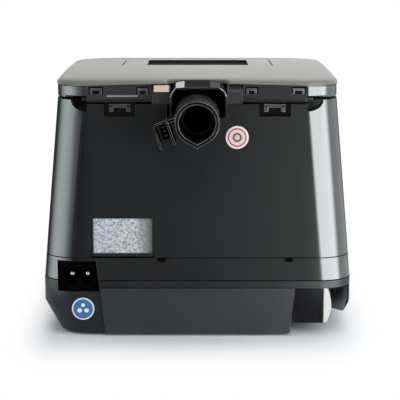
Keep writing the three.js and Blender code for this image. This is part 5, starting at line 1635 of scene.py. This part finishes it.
def makeSkirtRails():
    rail = skirtRail
    bm = bmesh.new()
    for span in rail["spans"]:
        addBox(bm, span, (rail["rear"], rail["front"]), (rail["bottom"], rail["top"]), rail["edge"], 4)
    addExtra("skirtRails", bm, "plain", "lid")
    bm = bmesh.new()
    # The ledge carries a painted highlight line
    ys = (rail["ledgeRear"], rail["ledgeFront"])
    addBox(bm, rail["ledge"], ys, (rail["ledgeBottom"], rail["ledgeTop"]), 0.2)
    addExtra("skirtLedge", bm, "ledge", "lid")


catchClip = {
    "inner": 35.9, "outer": 47.3, "rear": 1.42, "front": 6.2, "top": 127.35, "bottom": 123.15, "bar": 1.9,
    "leg": 2.3,
}
seamNotch = {
    "left": (-22.2, -16.8), "right": (47.3, 52.7), "top": 43.2, "bottom": 41.1, "lean": 0.9, "proud": 0.05,
    "deep": 0.3,
}


def makeCatchClips():
    # The U-shaped catches that stand in the two recesses
    clip = catchClip
    bm = bmesh.new()
    for side in (-1, 1):
        span = sorted((side * clip["inner"], side * clip["outer"]))
        addStaple(bm, span, (clip["rear"], clip["front"]), clip, 0.3, 0.35)
    addExtra("catchClips", bm, "tab", "casing")


# Painted shade: the notches are near-black plates set into the surface, not cut in
def makeSeamNotches():
    notch = seamNotch
    bm = bmesh.new()
    for left, right in (notch["left"], notch["right"]):
        points = (
            (left, notch["top"]), (right, notch["top"]), (right - notch["lean"], notch["bottom"]),
            (left + notch["lean"], notch["bottom"]),
        )
        face = cornerPlate(bm, [(x, -notch["proud"], z) for x, z in points], (0, 0, 0.4, 0.4), 3)
        raiseFace(bm, face, (0, notch["deep"], 0))
    facesOut(bm)
    addExtra("seamNotches", bm, "recess", "casing")


makeSkirtTabs()
makeSkirtRails()
makeCatchClips()
makeSeamNotches()
print("tabs, clips and notches are made")


# Dial: a knurled knob and the button at its centre

dialShape = {
    "across": 27,
    "ribs": 60,
    "ribDepth": 0.35,
    "ribbedFrom": 14.2,
    "knob": (
        (3.4, -5.4), (5.0, -5.4), (5.0, 1.3), (14.6, 1.3), (15.0, 1.7), (15.0, 7.6), (14.5, 8.3), (13.6, 8.8),
        (12.4, 9.0), (9.6, 9.0), (9.1, 8.8), (8.8, 8.3), (8.8, 4.2), (3.4, 4.2),
    ),
    "button": (
        (onAxis, 2.4), (3.0, 2.4), (3.0, 5.5), (8.4, 5.5), (8.4, 8.7), (8.1, 9.2), (7.4, 9.4), (5.0, 9.25),
        (2.5, 9.1), (onAxis, 9.05),
    ),
}


def faceMatrix():
    # Puts a shape that is drawn about the origin, with Y outwards, on the slope of the front panel
    form = casingForm
    foot = Matrix.Translation((0, form["depth"], form["top"]))
    return foot @ Matrix.Rotation(math.atan(form["frontSlope"]), 4, "X")


def knurl(part):
    for vert in part.verts:
        radius = math.hypot(vert.co.x, vert.co.z)
        if radius > dialShape["ribbedFrom"]:
            turn = math.atan2(vert.co.z, vert.co.x) * dialShape["ribs"]
            grow = 1 - dialShape["ribDepth"] / radius * (0.5 + 0.5 * math.cos(turn))
            vert.co.x *= grow
            vert.co.z *= grow


def makeDial():
    low, high = boxInMm("control_dial")
    up = (faceMatrix().inverted() @ ((low + high) / 2)).z
    for name, node, profile, steps, closed, shape in (
        ("controlDial", "control_dial", "knob", 240, True, knurl),
        ("dialButton", "dial_button", "button", 72, False, None),
    ):
        bm = bmesh.new()
        addTurned(bm, dialShape[profile], (dialShape["across"], up), steps, closed, shape)
        bmesh.ops.transform(bm, matrix=faceMatrix(), verts=bm.verts)
        addPiece(name, bm, [node])


makeDial()
print("dial is made")


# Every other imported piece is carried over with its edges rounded

for node in frame["nodes"]:
    if node not in standsFor:
        softenNode(node)
print("packed pieces are rounded")
